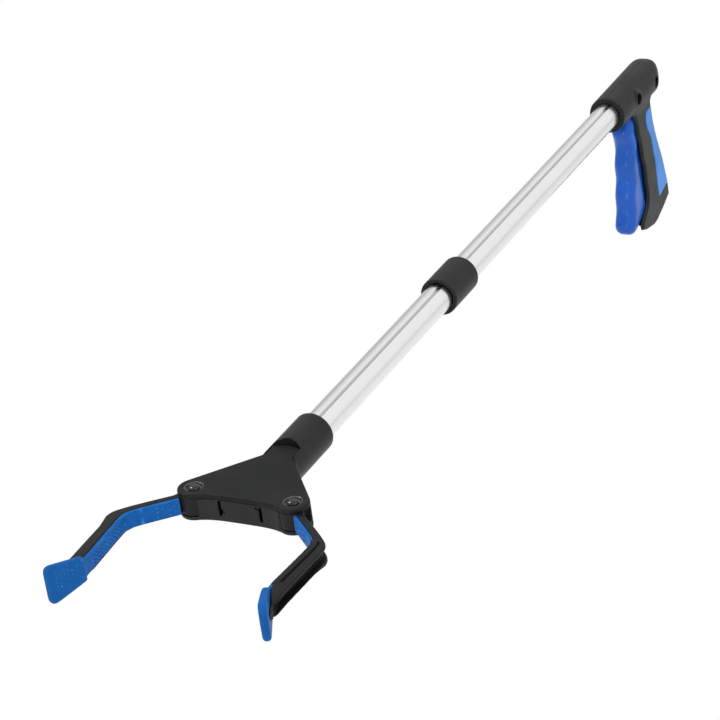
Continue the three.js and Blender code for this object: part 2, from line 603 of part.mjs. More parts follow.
// what stays of the grip inside a skin on its sides and back
const gripCore = (backDepth, half) => slabY([
  ...shiftX([[-584.4, -4], ...GRIP_BACK], backDepth), [-540, -103.1], [-540, -4],
], -half, half);
add('grip_insert', cut(slabY(INSERT_OUTLINE, -GRIP_HALF, GRIP_HALF),
  gripCore(2.0, GRIP_HALF - INSERT_THICK)), 'insert');

// the insert's recess, larger by the gap and open at the sides and back
function insertRecess() {
  const half = GRIP_HALF + 2;
  const loop = [...INSERT_OUTLINE, INSERT_OUTLINE[0], INSERT_OUTLINE[1]];
  const behind = [
    [-584.6, -16.7], ...INSERT_BACK, [-608.6, -92.3], [-625, -92.3], [-625, -16.7],
  ];
  return cut(
    join(slabY(offsetLine(loop, -GAP).slice(1, -1), -half, half), slabY(behind, -half, half)),
    gripCore(2.3, GRIP_HALF - INSERT_THICK - GAP));
}

function handleBody() {
  const barrel = cylX(BARREL_R0, BARREL_X0 - 1, BARREL_X1, 44, 0, BARREL_R1);
  const tubeSeat = cylX(SEAT_R, UPPER_TUBE_X0 - 2.4, BARREL_X1 + 5, 40);
  const gripOutline = [...GRIP_FRONT, ...GRIP_BACK.slice().reverse(), [-584, -4]];
  let body = join(barrel.intersect(slabY(BARREL_SIDE, -20, 20)),
    slabY(gripOutline, -GRIP_HALF, GRIP_HALF));
  body = cut(body, tubeSeat,
    cylX(11.6, -608, UPPER_TUBE_X0 - 1.2, 32)
      .intersect(slabY(MECHANISM_ROOM, -CHANNEL_HALF, CHANNEL_HALF)),
    slabY(TRIGGER_CHANNEL, -CHANNEL_HALF, CHANNEL_HALF));
  // the barrel's underside stays closed ahead of the trigger's channel
  const underside = barrel.intersect(box(-541.4, BARREL_X1, -20, 20, -20, 0));
  // screw posts
  body = join(body, cut(underside, tubeSeat),
    cylY(3.2, -10.4, 10.4, ...FRONT_SCREW, 24),
    cylY(3.4, -10.4, 10.4, ...REAR_SCREW, 24),
    cylY(3.2, -9.5, 9.5, ...GRIP_SCREW, 24));
  body = cut(body, cylY(2.2, -9.9, 9.9, ...TRIGGER_PIVOT, 20));
  for (const place of [FRONT_SCREW, REAR_SCREW]) {
    body = cut(body, cylY(1.85, -9.8, 30, ...place, 16), cylY(4.2, 9.6, 30, ...place, 28));
  }
  body = cut(body,
    cylY(1.85, -7.6, 30, ...GRIP_SCREW, 16),
    cylY(3.5, 7.4, 30, ...GRIP_SCREW, 24),
    retainingHole,
    insertRecess());
  // key that sits in the tube's groove at the mouth
  const mouthKey = cut(alongGroove(9.0, 11.4, 0.5, 1.1, BARREL_X1 - 6, BARREL_X1 - 0.3),
    cylX(8.9, BARREL_X1 - 10, BARREL_X1 + 1, 24));
  return join(body, mouthKey);
}
const handle = handleBody();
const handleSide = (y0, y1) => handle.intersect(box(-700, -450, y0, y1, -200, 60));
add('handle_shell_left', handleSide(GAP / 2, 40), 'black');
add('handle_shell_right', handleSide(-40, -GAP / 2), 'black');
add('trigger_pivot_pin', cylY(2.0, -9.6, 9.6, ...TRIGGER_PIVOT, 20), 'steel');

// cross-slotted screw, its head on the left side of the handle
function screw([x, z], tipY, headY, headR) {
  const long = 1.8;
  const half = 0.45;
  const slotY = headY + 1.1;
  const head = cut(cylY(headR, headY, headY + 2.0, x, z, 24),
    box(x - half, x + half, slotY, 20, z - long, z + long),
    box(x - long, x + long, slotY, 20, z - half, z + half));
  return join(cylY(1.55, tipY, headY + 0.2, x, z, 14), head);
}
add('handle_screw_front', screw(FRONT_SCREW, -9.4, 9.8, 3.3), 'steel');
add('handle_screw_rear', screw(REAR_SCREW, -9.4, 9.8, 3.3), 'steel');
// the grip screw's head is cut short at y 9.3
add('grip_screw', screw(GRIP_SCREW, -7.3, 7.6, 3.0)
  .intersect(box(-700, -500, -20, 9.3, -200, 60)), 'steel');
add('tube_retaining_pin', cylY(1.5, -11.2, 11.2, ...RETAINING_PIN, 16), 'steel');
// plug in the upper tube's rear end, bored for the pull rod
add('tube_end_bush', cut(cylX(PLUG_R, UPPER_TUBE_X0 - 0.3, -524, 36),
  plugKeyway(-560, -500), retainingHole, cylX(1.5, -560, -500, 16, ROD_Z)), 'black');

export default group;
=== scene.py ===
# A folding pick-up tool: a pistol-grip handle, a grooved tube shaft that folds at mid-length
# and a head with two jaws. The shaft lies along X with the jaws at +X and the handle at -X;
# +Y is the tool's left and the grip hangs down, towards -Z.
import math

import bmesh
import bpy
import numpy as np
from mathutils import Matrix, Vector


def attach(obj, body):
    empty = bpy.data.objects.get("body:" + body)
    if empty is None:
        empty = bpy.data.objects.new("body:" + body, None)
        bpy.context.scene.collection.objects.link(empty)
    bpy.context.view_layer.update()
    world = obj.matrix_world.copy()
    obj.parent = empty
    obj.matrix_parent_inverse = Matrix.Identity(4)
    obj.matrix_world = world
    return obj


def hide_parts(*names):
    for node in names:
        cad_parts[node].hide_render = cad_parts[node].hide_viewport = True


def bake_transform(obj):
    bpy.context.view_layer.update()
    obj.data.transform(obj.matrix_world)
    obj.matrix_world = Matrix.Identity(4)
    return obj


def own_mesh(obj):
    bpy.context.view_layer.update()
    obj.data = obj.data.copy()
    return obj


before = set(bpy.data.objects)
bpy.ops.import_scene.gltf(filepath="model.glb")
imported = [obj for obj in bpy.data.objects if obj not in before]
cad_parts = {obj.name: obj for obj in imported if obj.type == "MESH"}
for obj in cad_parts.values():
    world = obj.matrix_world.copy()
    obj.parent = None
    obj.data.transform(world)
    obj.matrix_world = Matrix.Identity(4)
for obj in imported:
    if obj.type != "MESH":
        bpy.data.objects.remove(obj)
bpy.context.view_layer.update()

# Shapes are in millimetres in the shaft's own frame (x = 0 at the head socket's mouth,
# z = 0 on the shaft's axis) and are moved to the row frame, in metres, last.
PIVOT_X, PIVOT_Y = 91.4, 33.3  # jaw rivets, the right one at -PIVOT_Y
HEAD_HALF = 8.84  # half the head's thickness
TUBE_R, TUBE_BORE_R = 10.15, 9.15
SEAT_R = 10.45  # bores that hold the tubes
GROOVE_DEG = 72  # the tubes' groove, as an angle from +Y towards +Z
FOLD_X, FOLD_Z = -197.8, 8.5  # hinge line
AXIS = (0, 0)  # the shaft's axis, seen along X
SIDES = (("left", 1), ("right", -1))


def row(x, y, z):
    """A place in the shaft's frame, given in the row frame."""
    return ((x - PIVOT_X) / 1000, y / 1000, (z + HEAD_HALF) / 1000)


# ------------------------------------------------------------------ flat outlines
def rad(degrees):
    return degrees * math.pi / 180


def arc(cx, cy, radius, start, end, steps):
    angles = [rad(start + (end - start) * i / steps) for i in range(steps + 1)]
    return [(cx + radius * math.cos(a), cy + radius * math.sin(a)) for a in angles]


def both_sides(half):
    """A half outline closed by its mirror image in y."""
    return half + [(x, -y) for x, y in reversed(half)]


def rounded(points, radii, steps):
    """Closed outline with each corner replaced by a parabola of about the given radius."""
    out = []
    for i, radius in enumerate(radii):
        corner = np.array(points[i], float)
        if not radius:
            out.append(tuple(corner))
            continue
        before = np.array(points[i - 1], float) - corner
        after = np.array(points[(i + 1) % len(points)], float) - corner
        len_b, len_a = np.linalg.norm(before), np.linalg.norm(after)
        cosine = max(-1.0, min(1.0, float(before @ after) / (len_b * len_a)))
        half = math.acos(cosine) / 2
        reach = min(radius / max(math.tan(half), 1e-6), len_b * 0.48, len_a * 0.48)
        start, end = corner + before / len_b * reach, corner + after / len_a * reach
        for k in range(steps + 1):
            t = k / steps
            u = 1 - t
            out.append(tuple(u * u * start + 2 * t * u * corner + t * t * end))
    return out


def chaikin(points, times=2):
    """Open line with its corners cut and its ends kept."""
    line = [np.array(p, float) for p in points]
    for _ in range(times):
        cut_line = []
        for a, b in zip(line, line[1:]):
            cut_line += [a * 0.75 + b * 0.25, a * 0.25 + b * 0.75]
        line = [line[0]] + cut_line[1:-1] + [line[-1]]
    return [tuple(p) for p in line]


def offset_line(points, distance):
    """Open line moved sideways, to the left of its own direction."""
    points = np.array(points, float)
    along = points[1:] - points[:-1]
    along /= np.linalg.norm(along, axis=1)[:, None]
    normals = np.stack([-along[:, 1], along[:, 0]], 1)
    out = []
    for i, p in enumerate(points):
        a, b = normals[max(i - 1, 0)], normals[min(i, len(normals) - 1)]
        middle = a + b
        middle /= np.linalg.norm(middle)
        out.append(tuple(p + middle * distance / max(0.3, float(middle @ b))))
    return out


def outline_distance(points, first, second):
    """Signed distance to a closed outline, negative inside."""
    best = np.full(first.shape, 1e12)
    inside = np.zeros(first.shape, bool)
    for k, (x0, y0) in enumerate(points):
        x1, y1 = points[(k + 1) % len(points)]
        ex, ey = x1 - x0, y1 - y0
        square = ex * ex + ey * ey
        if square < 1e-12:
            continue
        wx, wy = first - x0, second - y0
        t = np.clip((wx * ex + wy * ey) / square, 0, 1)
        dx, dy = wx - ex * t, wy - ey * t
        np.minimum(best, dx * dx + dy * dy, out=best)
        crosses = (y0 > second) != (y1 > second)
        if ey:
            inside ^= crosses & (first < ex * (second - y0) / ey + x0)
    distance = np.sqrt(best)
    return np.where(inside, -distance, distance)


# ---------------------------------------------------------------- distance fields
def slab(t, low, high):
    return np.abs(t - (low + high) / 2) - (high - low) / 2


def extrude(flat, depth, edge=0.0):
    """Overlap of an outline distance and a depth distance, edges rounded to a radius."""
    a, b = flat + edge, depth + edge
    outside = np.sqrt(np.maximum(a, 0) ** 2 + np.maximum(b, 0) ** 2)
    return (outside + np.minimum(np.maximum(a, b), 0) - edge).astype(np.float32)


def join(a, b, blend):
    near = np.maximum(blend - np.abs(a - b), 0) / blend
    return (np.minimum(a, b) - near * near * blend * 0.25).astype(np.float32)


def overlap(a, b, blend):
    near = np.maximum(blend - np.abs(a - b), 0) / blend
    return (np.maximum(a, b) + near * near * blend * 0.25).astype(np.float32)


def cut(shape, tool, blend):
    return overlap(shape, -tool, blend)


def across(axis, items):
    """Of three items for x, y and z, the two that are not the named axis's."""
    return [item for name, item in zip("xyz", items) if name != axis]


class Grid:
    """Sample points of a field, and the simple solids measured on them."""

    def __init__(self, low, high, step):
        self.step = step
        self.low = np.array(low, float) - 2.5 * step
        self.shape = tuple(np.ceil((np.array(high, float) - self.low) / step).astype(int) + 3)
        self.ticks = [self.low[i] + step * np.arange(self.shape[i]) for i in range(3)]
        self.x = self.ticks[0].reshape(-1, 1, 1).astype(np.float32)
        self.y = self.ticks[1].reshape(1, -1, 1).astype(np.float32)
        self.z = self.ticks[2].reshape(1, 1, -1).astype(np.float32)

    def full(self, field):
        return np.ascontiguousarray(np.broadcast_to(field, self.shape)).astype(np.float32)

    def outline(self, axis, points):
        """Endless prism along the axis."""
        first, second = np.meshgrid(*across(axis, self.ticks), indexing="ij")
        flat = outline_distance(points, first, second).astype(np.float32)
        return np.expand_dims(flat, "xyz".index(axis))

    def rod(self, axis, radius, centre):
        """Endless cylinder along the axis."""
        first, second = across(axis, (self.x, self.y, self.z))
        return np.sqrt((first - centre[0]) ** 2 + (second - centre[1]) ** 2) - radius

    def prism(self, axis, points, low, high, edge=0.0):
        return extrude(self.outline(axis, points), slab(getattr(self, axis), low, high), edge)

    def disc(self, axis, radius, centre, low, high, edge=0.0):
        flat = self.rod(axis, radius, centre)
        return extrude(flat, slab(getattr(self, axis), low, high), edge)

    def box(self, x_span, y_span, z_span, edge):
        a, b, c = (slab(self.x, *x_span) + edge, slab(self.y, *y_span) + edge,
                   slab(self.z, *z_span) + edge)
        outside = np.sqrt(sum(np.maximum(v, 0) ** 2 for v in (a, b, c)))
        inside = np.minimum(np.maximum(np.maximum(a, b), c), 0)
        return (outside + inside - edge).astype(np.float32)


CORNERS = [(i, j, k) for i in (0, 1) for j in (0, 1) for k in (0, 1)]


def sample(grid, field, points):
    """Trilinear value of the field at the points."""
    place = np.clip((points - grid.low) / grid.step, 0, np.array(field.shape) - 1.001)
    cell = place.astype(np.int64)
    t = (place - cell).astype(np.float32)
    value = 0
    for corner in CORNERS:
        a, b, c = (t[:, i] if corner[i] else 1 - t[:, i] for i in range(3))
        value = value + a * b * c * field[tuple((cell + corner).T)]
    return value


def surface(grid, field):
    """Closed quad mesh of the zero surface: one vertex a cell, moved onto the surface."""
    field = grid.full(field)
    field[np.abs(field) < 1e-5] = 1e-5
    inside = field < 0
    size = np.array(field.shape) - 1
    count = np.zeros(size, np.uint8)
    for i, j, k in CORNERS:
        count += inside[i : i + size[0], j : j + size[1], k : k + size[2]]
    active = (count > 0) & (count < 8)
    index = np.full(size, -1, np.int32)
    cells = np.argwhere(active)
    index[active] = np.arange(len(cells), dtype=np.int32)

    # start at the mean of the crossings on the cell's edges
    total = np.zeros((len(cells), 3))
    crossings = np.zeros(len(cells))
    values = {corner: field[tuple((cells + corner).T)] for corner in CORNERS}
    for corner in CORNERS:
        for axis in range(3):
            if corner[axis]:
                continue
            far = values[tuple(corner[i] + (i == axis) for i in range(3))]
            near = values[corner]
            crossed = (near < 0) != (far < 0)
            t = np.where(crossed, near / np.where(crossed, near - far, 1), 0)
            for i in range(3):
                total[:, i] += crossed * (corner[i] + (t if i == axis else 0))
            crossings += crossed
    points = grid.low + (cells + total / crossings[:, None]) * grid.step

    # then walk down the gradient
    reach = 0.35 * grid.step
    limit = 0.4 * grid.step
    for _ in range(3):
        value = sample(grid, field, points)
        slope = np.stack([sample(grid, field, points + step) - sample(grid, field, points - step)
                          for step in reach * np.eye(3)], 1) / (2 * reach)
        square = np.maximum((slope * slope).sum(1), 0.05)
        points = points - np.clip(value / square, -limit, limit)[:, None] * slope

    # one quad round every grid edge that crosses the surface
    faces = []
    for axis, (u, w) in enumerate(((1, 2), (2, 0), (0, 1))):
        low, high = [slice(None)] * 3, [slice(None)] * 3
        low[axis], high[axis] = slice(0, -1), slice(1, None)
        near, far = inside[tuple(low)], inside[tuple(high)]
        edges = np.argwhere(near != far)
        edges = edges[(edges[:, u] > 0) & (edges[:, w] > 0)
                      & (edges[:, u] < size[u]) & (edges[:, w] < size[w])]
        leaving = near[tuple(edges.T)]
        ring = []
        for du, dw in ((-1, -1), (0, -1), (0, 0), (-1, 0)):
            cell = edges.copy()
            cell[:, u] += du
            cell[:, w] += dw
            ring.append(index[tuple(cell.T)])
        quads = np.stack(ring, 1)
        quads[~leaving] = quads[~leaving][:, ::-1]
        faces.append(quads)
    return points, np.concatenate(faces)


# ------------------------------------------------------------ direct mesh building
def make(name, mesh, body, look, replaces):
    """Object from (points, faces); the faces are an array of quads or a list of any sizes."""
    points, faces = mesh
    points = np.stack(row(*points.T), axis=1).astype(np.float32)
    data = bpy.data.meshes.new(name)
    if isinstance(faces, np.ndarray):
        data.vertices.add(len(points))
        data.vertices.foreach_set("co", points.ravel())
        data.loops.add(faces.size)
        data.loops.foreach_set("vertex_index", faces.astype(np.int32).ravel())
        data.polygons.add(len(faces))
        data.polygons.foreach_set("loop_start", np.arange(0, faces.size, 4, dtype=np.int32))
        data.update(calc_edges=True)
    else:
        data.from_pydata(points.tolist(), [], faces)
    data.validate()
    data.polygons.foreach_set("use_smooth", [True] * len(data.polygons))
    made = bpy.data.objects.new(name, data)
    bpy.context.scene.collection.objects.link(made)
    data.materials.append(look)
    if body:
        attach(made, body)
    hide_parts(replaces)
    return made


def lathe(profile, count, centre):
    """Profile of (radius, z) from the top pole to the bottom one, turned about an upright line."""
    points, rings, faces = [], [], []
    for radius, z in profile:
        turns = count if radius else 1
        rings.append(range(len(points), len(points) + turns))
        for k in range(turns):
            a = 2 * math.pi * k / count
            points.append((radius * math.cos(a), radius * math.sin(a), z))
    for upper, lower in zip(rings, rings[1:]):
        for k in range(count):
            after = (k + 1) % count
            if len(upper) == 1:
                faces.append((lower[k], lower[after], upper[0]))
            elif len(lower) == 1:
                faces.append((lower[0], upper[after], upper[k]))
            else:
                faces.append((lower[k], lower[after], upper[after], upper[k]))
    return np.array(points, float) + np.array(centre, float), faces


def tangents(path):
    along = np.gradient(path, axis=0)
    return along / np.linalg.norm(along, axis=1)[:, None]


def sweep(path, radius, count):
    """Round bar along a list of points, in frames that turn as little as possible."""
    path = np.array(path, float)
    along = tangents(path)
    side = np.cross(along[0], (0, 1, 0))
    side /= np.linalg.norm(side)
    points, faces = [], []
    for i, p in enumerate(path):
        side = side - along[i] * (side @ along[i])
        side /= np.linalg.norm(side)
        other = np.cross(along[i], side)
        for k in range(count):
            a = 2 * math.pi * k / count
            points.append(p + radius * (math.cos(a) * side + math.sin(a) * other))
        if i:
            b = (i - 1) * count
            for k in range(count):
                after = (k + 1) % count
                faces.append((b + k, b + after, b + count + after, b + count + k))
    last = (len(path) - 1) * count
    faces.append(tuple(range(count))[::-1])
    faces.append(tuple(range(last, last + count)))
    return np.array(points), faces


def catmull(points, steps):
    """Smooth line through the points."""
    knots = [np.array(p, float) for p in points]
    knots = [2 * knots[0] - knots[1]] + knots + [2 * knots[-1] - knots[-2]]
    out = []
    for a, b, c, d in zip(knots, knots[1:], knots[2:], knots[3:]):
        for k in range(steps):
            t = k / steps
            out.append(0.5 * (2 * b + (c - a) * t + (2 * a - 5 * b + 4 * c - d) * t * t
                              + (-a + 3 * b - 3 * c + d) * t ** 3))
    return out + [knots[-2]]


# -------------------------------------------------------------------- materials
def add_node(tree, kind, inputs=None, **settings):
    """New shader node; each input gets a value or a link from an output socket."""
    made = tree.nodes.new("ShaderNode" + kind)
    for key, value in settings.items():
        setattr(made, key, value)
    for key, value in (inputs or {}).items():
        if isinstance(value, bpy.types.NodeSocket):
            tree.links.new(value, made.inputs[key])
        else:
            made.inputs[key].default_value = value
    return made


def material(name, colour, rough, rough_var=0.06, metal=0.0, spec=0.5, coat=0.0, coat_rough=0.08,
             sheen=0.0, mottle=0.06, grain=0.0, grain_size=0.5, wear=0.0, wear_colour=None,
             lines=0.0, scratches=0.0, bump_mm=0.02, groove=False, ring=False):
    """Surface with cloudy colour and roughness, and optional grain, edge wear, marks and painted
    shade in a tube's groove.
    """
    look = bpy.data.materials.new(name)
    look.use_nodes = True
    tree = look.node_tree
    tree.nodes.clear()

    def add(kind, inputs=None, **settings):
        return add_node(tree, kind, inputs, **settings)

    place = add("TexCoord").outputs["Object"]

    def noise(scale, detail, roughness=0.5, vector=place, distortion=0.0):
        return add("TexNoise", {"Scale": scale, "Detail": detail, "Roughness": roughness,
                                "Distortion": distortion, "Vector": vector}).outputs[0]

    def ramp(value, span, to=(0.0, 1.0)):
        return add("MapRange", {"From Min": span[0], "From Max": span[1], "To Min": to[0],
                                "To Max": to[1], "Value": value}).outputs[0]

    def mix(factor, first, second, kind="RGBA"):
        return add("Mix", {"Factor": factor, "A": first, "B": second},
                   data_type=kind).outputs["Result"]

    def calc(operation, *values):
        return add("Math", dict(enumerate(values)), operation=operation).outputs[0]

    def length(first, second):
        pair = add("CombineXYZ", {0: first, 1: second}).outputs[0]
        return add("VectorMath", {0: pair}, operation="LENGTH").outputs["Value"]

    def shade(factor, lift=0.0):
        return tuple(min(1.0, c * factor + lift) for c in colour) + (1.0,)

    clouds = ramp(noise(scale=38, detail=4, roughness=0.55), span=(0.35, 0.65))
    tint = mix(clouds, shade(1 - mottle * 2), shade(1 + mottle * 2, lift=mottle * 0.02))
    if grain:
        fine = noise(scale=900 / grain_size, detail=2)
        tint = mix(ramp(fine, span=(0.35, 0.7), to=(0.0, 0.5)), tint, shade(0.72))
    gloss = ramp(noise(scale=55, detail=5, roughness=0.6), span=(0.3, 0.7),
                 to=(rough - rough_var, rough + rough_var))
    if wear:
        edge = ramp(add("NewGeometry").outputs["Pointiness"], span=(0.515, 0.56))
        patches = ramp(noise(scale=160, detail=4, roughness=0.6), span=(0.42, 0.66))
        amount = calc("MULTIPLY", calc("MULTIPLY", edge, patches), wear)
        tint = mix(amount, tint, (*wear_colour, 1.0))
    if lines:
        # drawing lines along X
        drawn = add("Mapping", {"Scale": (0.012, 1.0, 1.0), "Vector": place}).outputs[0]
        streaks = noise(scale=1900, detail=2, roughness=0.6, vector=drawn)
        shine = noise(scale=1400, detail=4, roughness=0.6, vector=drawn)
        tint = mix(ramp(streaks, span=(0.3, 0.7), to=(0.0, lines)), tint, shade(0.86))
        change = ramp(shine, span=(0.3, 0.7), to=(-0.1 * lines, 0.1 * lines))
        gloss = calc("ADD", change, gloss)
    if scratches:
        slanted = add("Mapping", {"Rotation": (0.3, 0.7, 0.5), "Scale": (0.06, 1.0, 0.4),
                                  "Vector": place}).outputs[0]
        marks = noise(scale=700, detail=2, roughness=0.4, vector=slanted, distortion=0.4)
        gloss = calc("ADD", gloss, ramp(marks, span=(0.66, 0.70), to=(0.0, scratches)))
    if groove:
        # painted shade in the tube's groove, by distance from the tube's axis: the colour is darkened
        # where the groove's walls would be in shade
        coords = add("SeparateXYZ", {0: place}).outputs
        from_axis = length(coords["Y"], calc("SUBTRACT", coords["Z"], HEAD_HALF / 1000))
        painted_groove_shade = ramp(from_axis, span=(0.00890, 0.00975), to=(0.45, 0.0))
        tint = mix(painted_groove_shade, tint, (0.10, 0.105, 0.105, 1.0))
    bsdf = add("BsdfPrincipled", {"Metallic": metal, "Specular IOR Level": spec})
    if ring:
        # smooth, glossy edges to the recesses round the two rivets
        coords = add("SeparateXYZ", {0: place}).outputs
        off_side = calc("SUBTRACT", calc("ABSOLUTE", coords["Y"]), PIVOT_Y / 1000)
        near = ramp(length(coords["X"], off_side), span=(0.0056, 0.0061), to=(1.0, 0.0))
        gloss = mix(near, gloss, 0.34, kind="FLOAT")
        tree.links.new(ramp(near, span=(0.0, 1.0), to=(spec, 0.8)),
                       bsdf.inputs["Specular IOR Level"])
    if coat:
        bsdf.inputs["Coat Weight"].default_value = coat
        bsdf.inputs["Coat Roughness"].default_value = coat_rough
    if sheen:
        bsdf.inputs["Sheen Weight"].default_value = sheen
        bsdf.inputs["Sheen Roughness"].default_value = 0.4
    if grain:
        pebbles = add("TexVoronoi", {"Scale": 620 / grain_size, "Vector": place},
                      feature="SMOOTH_F1")
        height = calc("ADD", fine, pebbles.outputs["Distance"])
    elif lines:
        height = streaks
    else:
        height = noise(scale=240, detail=3)
    bump = add("Bump", {"Strength": max(grain, lines, 0.12), "Distance": bump_mm / 1000,
                        "Height": height})
    for key, value in (("Roughness", gloss), ("Base Color", tint), ("Normal", bump.outputs[0])):
        tree.links.new(value, bsdf.inputs[key])
    add("OutputMaterial", {0: bsdf.outputs[0]})
    return look


BLACK = material(
    "black_plastic", colour=(0.0062, 0.0066, 0.0069), rough=0.44, rough_var=0.05, spec=0.21,
    mottle=0.12, grain=0.5, grain_size=0.55, bump_mm=0.035,
    wear=0.45, wear_colour=(0.045, 0.045, 0.047))
PLATE_BLACK = material(
    "plate_plastic", colour=(0.0072, 0.0078, 0.0078), rough=0.46, rough_var=0.05, spec=0.10,
    mottle=0.12, grain=0.5, grain_size=0.55, bump_mm=0.03,
    wear=0.2, wear_colour=(0.035, 0.037, 0.037), ring=True)
ARM_BLACK = material(
    "arm_plastic", colour=(0.0078, 0.0072, 0.0076), rough=0.42, spec=0.12,
    mottle=0.12, grain=0.35, grain_size=0.6, bump_mm=0.025,
    wear=0.45, wear_colour=(0.04, 0.042, 0.045))
INNER_BLACK = material(
    "inner_plastic", colour=(0.010, 0.010, 0.0105), rough=0.5, spec=0.3,
    mottle=0.08, grain=0.3, bump_mm=0.03)
RIVET = material(
    "rivet_black", colour=(0.003, 0.003, 0.0035), rough=0.15, rough_var=0.02, spec=0.35,
    coat=0.15, mottle=0.05, scratches=0.04, bump_mm=0.004)
BLUE = material(
    "trigger_blue", colour=(0.0018, 0.074, 0.40), rough=0.30, rough_var=0.03, spec=0.14,
    coat=0.38, coat_rough=0.24, mottle=0.05, bump_mm=0.006,
    wear=0.25, wear_colour=(0.05, 0.18, 0.60))
RUBBER = material(
    "jaw_rubber", colour=(0.0018, 0.088, 0.32), rough=0.50, rough_var=0.07, spec=0.10,
    mottle=0.08, grain=0.3, grain_size=0.8, bump_mm=0.05,
    wear=0.85, wear_colour=(0.045, 0.25, 0.58))
INSERT = material(
    "grip_insert_blue", colour=(0.030, 0.205, 0.62), rough=0.40, spec=0.3,
    grain=0.4, grain_size=0.7, bump_mm=0.04, wear=0.3, wear_colour=(0.10, 0.33, 0.75))
# groove=True paints shade into the colour inside the tube's groove
ALU = material(
    "tube_aluminium", colour=(0.79, 0.795, 0.79), rough=0.26, rough_var=0.012, metal=1.0,
    mottle=0.004, lines=0.06, bump_mm=0.0003, groove=True)
STEEL = material(
    "zinc_steel", colour=(0.55, 0.555, 0.56), rough=0.34, rough_var=0.08, metal=1.0,
    scratches=0.15, bump_mm=0.01)
DARK_STEEL = material(
    "black_screw", colour=(0.012, 0.012, 0.013), rough=0.36, rough_var=0.08, metal=0.3,
    spec=0.4, mottle=0.1, scratches=0.1, bump_mm=0.01)
CORD = material(
    "braided_cord", colour=(0.62, 0.60, 0.54), rough=0.75, sheen=0.2, mottle=0.1,
    grain=0.9, bump_mm=0.15)

# looks of the CAD pieces; the rest are black plastic
CAD_LOOKS = (
    (STEEL, "trigger_pivot_pin tube_retaining_pin hinge_pin trigger_link_pin pull_rod_upper "
            "cord_crimp_upper cord_crimp_yoke cord_crimp_lower socket_screw "
            "drive_pin_left drive_pin_right jaw_spring"),
    (INNER_BLACK, "tube_end_bush upper_ferrule lower_ferrule yoke"),
    (CORD, "pull_cord_lower fold_cord"),
    (DARK_STEEL, "handle_screw_front handle_screw_rear grip_screw"),
)
cad_look = {part: look for look, parts in CAD_LOOKS for part in parts.split()}
for part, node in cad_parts.items():
    node.data.materials.clear()
    node.data.materials.append(cad_look.get(part, BLACK))

# ------------------------------------------------------------------------ tubes
GROOVE_DEPTH = 1.35
FOLD_GAP = 4.5  # from the hinge line to each tube's end
FOLD_SLOPE = math.tan(rad(9))  # the ends lean away from each other above the hinge line
EDGE_IN, EDGE_BACK = 0.14, 0.22  # softened tube ends, across the wall and along the tube
groove_y, groove_z = math.cos(rad(GROOVE_DEG)), math.sin(rad(GROOVE_DEG))


def groove_point(out, side):
    """(y, z) at a distance out from the axis towards the groove, and to one side of it."""
    return (groove_y * out + groove_z * side, groove_z * out - groove_y * side)


def tube_profile(radius, half_width):
    """(y, z) outline with one V-groove whose lips and floor are softly rounded."""
    half = math.degrees(half_width / radius)
    floor_r = radius - GROOVE_DEPTH
    points = arc(0, 0, radius, GROOVE_DEG + half, GROOVE_DEG - half + 360, 150)
    groove = [points[-6], points[-1], groove_point(floor_r + 0.04, 0.42),
              groove_point(floor_r, 0.0), groove_point(floor_r + 0.04, -0.42),
              points[0], points[5]]
    return points[6:-6] + rounded(groove, [0, 0.55, 0.5, 0, 0.5, 0.55, 0], 5)


def build_tube(x0, x1):
    outer = tube_profile(TUBE_R, 1.5)
    inner = tube_profile(TUBE_BORE_R, 1.9)
    between = [x0 + (x1 - x0) * k / 24 for k in range(1, 24)]
    # rings out along the skin and back through the bore: profile, x, growth, push along x
    stations = [(inner, x0, 0.0, EDGE_BACK), (inner, x0, EDGE_IN, 0.04),
                (outer, x0, -EDGE_IN, 0.0), (outer, x0, 0.0, EDGE_BACK)]
    stations += [(outer, x, 0.0, 0.0) for x in between]
    stations += [(outer, x1, 0.0, -EDGE_BACK), (outer, x1, -EDGE_IN, 0.0),
                 (inner, x1, EDGE_IN, -0.04), (inner, x1, 0.0, -EDGE_BACK)]
    stations += [(inner, x, 0.0, 0.0) for x in reversed(between)]
    points = []
    for profile, x, growth, push in stations:
        way = 1 if x > FOLD_X else -1
        for y, z in profile:
            radius = math.hypot(y, z)
            scale = (radius + growth) / radius
            from_fold = max(abs(x - FOLD_X), (z - FOLD_Z + 0.05) / FOLD_SLOPE)
            points.append((FOLD_X + way * from_fold + push, y * scale, z * scale))
    here = np.arange(len(points)).reshape(len(stations), -1)
    after = np.roll(here, -1, axis=0)
    quads = [here, np.roll(here, -1, axis=1), np.roll(after, -1, axis=1), after]
    return np.array(points), np.stack(quads, axis=-1).reshape(-1, 4)


make("shaft_lower", build_tube(FOLD_X + FOLD_GAP, 30.0), "lower", ALU, "lower_tube")
make("shaft_upper", build_tube(-541.0, FOLD_X - FOLD_GAP), "upper", ALU, "upper_tube")

# ----------------------------------------------------------------------- collar
SLEEVE_X0, SLEEVE_X1 = -226.8, -189.3
SLEEVE_R, SLEEVE_BORE_R = 13.45, 10.55


def key(grid, x0, x1, tip_r, root_half):
    """Rib on a bore's wall that reaches into the tube's groove."""
    points = [groove_point(tip_r, 0.40), groove_point(tip_r, -0.40),
              groove_point(11.6, -root_half), groove_point(11.6, root_half)]
    return grid.prism("x", points, x0, x1, 0.15)


def build_sleeve():
    grid = Grid((SLEEVE_X0, -13.6, -13.6), (SLEEVE_X1, 13.6, 13.6), 0.36)
    shape = grid.disc("x", SLEEVE_R, AXIS, SLEEVE_X0, SLEEVE_X1, 0.75)
    shape = cut(shape, grid.rod("x", SLEEVE_BORE_R, AXIS), 0.5)
    for x0, x1 in ((SLEEVE_X1 - 5, SLEEVE_X1 - 0.4), (SLEEVE_X0 + 0.4, SLEEVE_X0 + 5)):
        shape = join(shape, key(grid, x0, x1, 9.65, 1.10), 0.25)
    return surface(grid, shape)


make("collar", build_sleeve(), "sleeve", BLACK, "lock_sleeve")

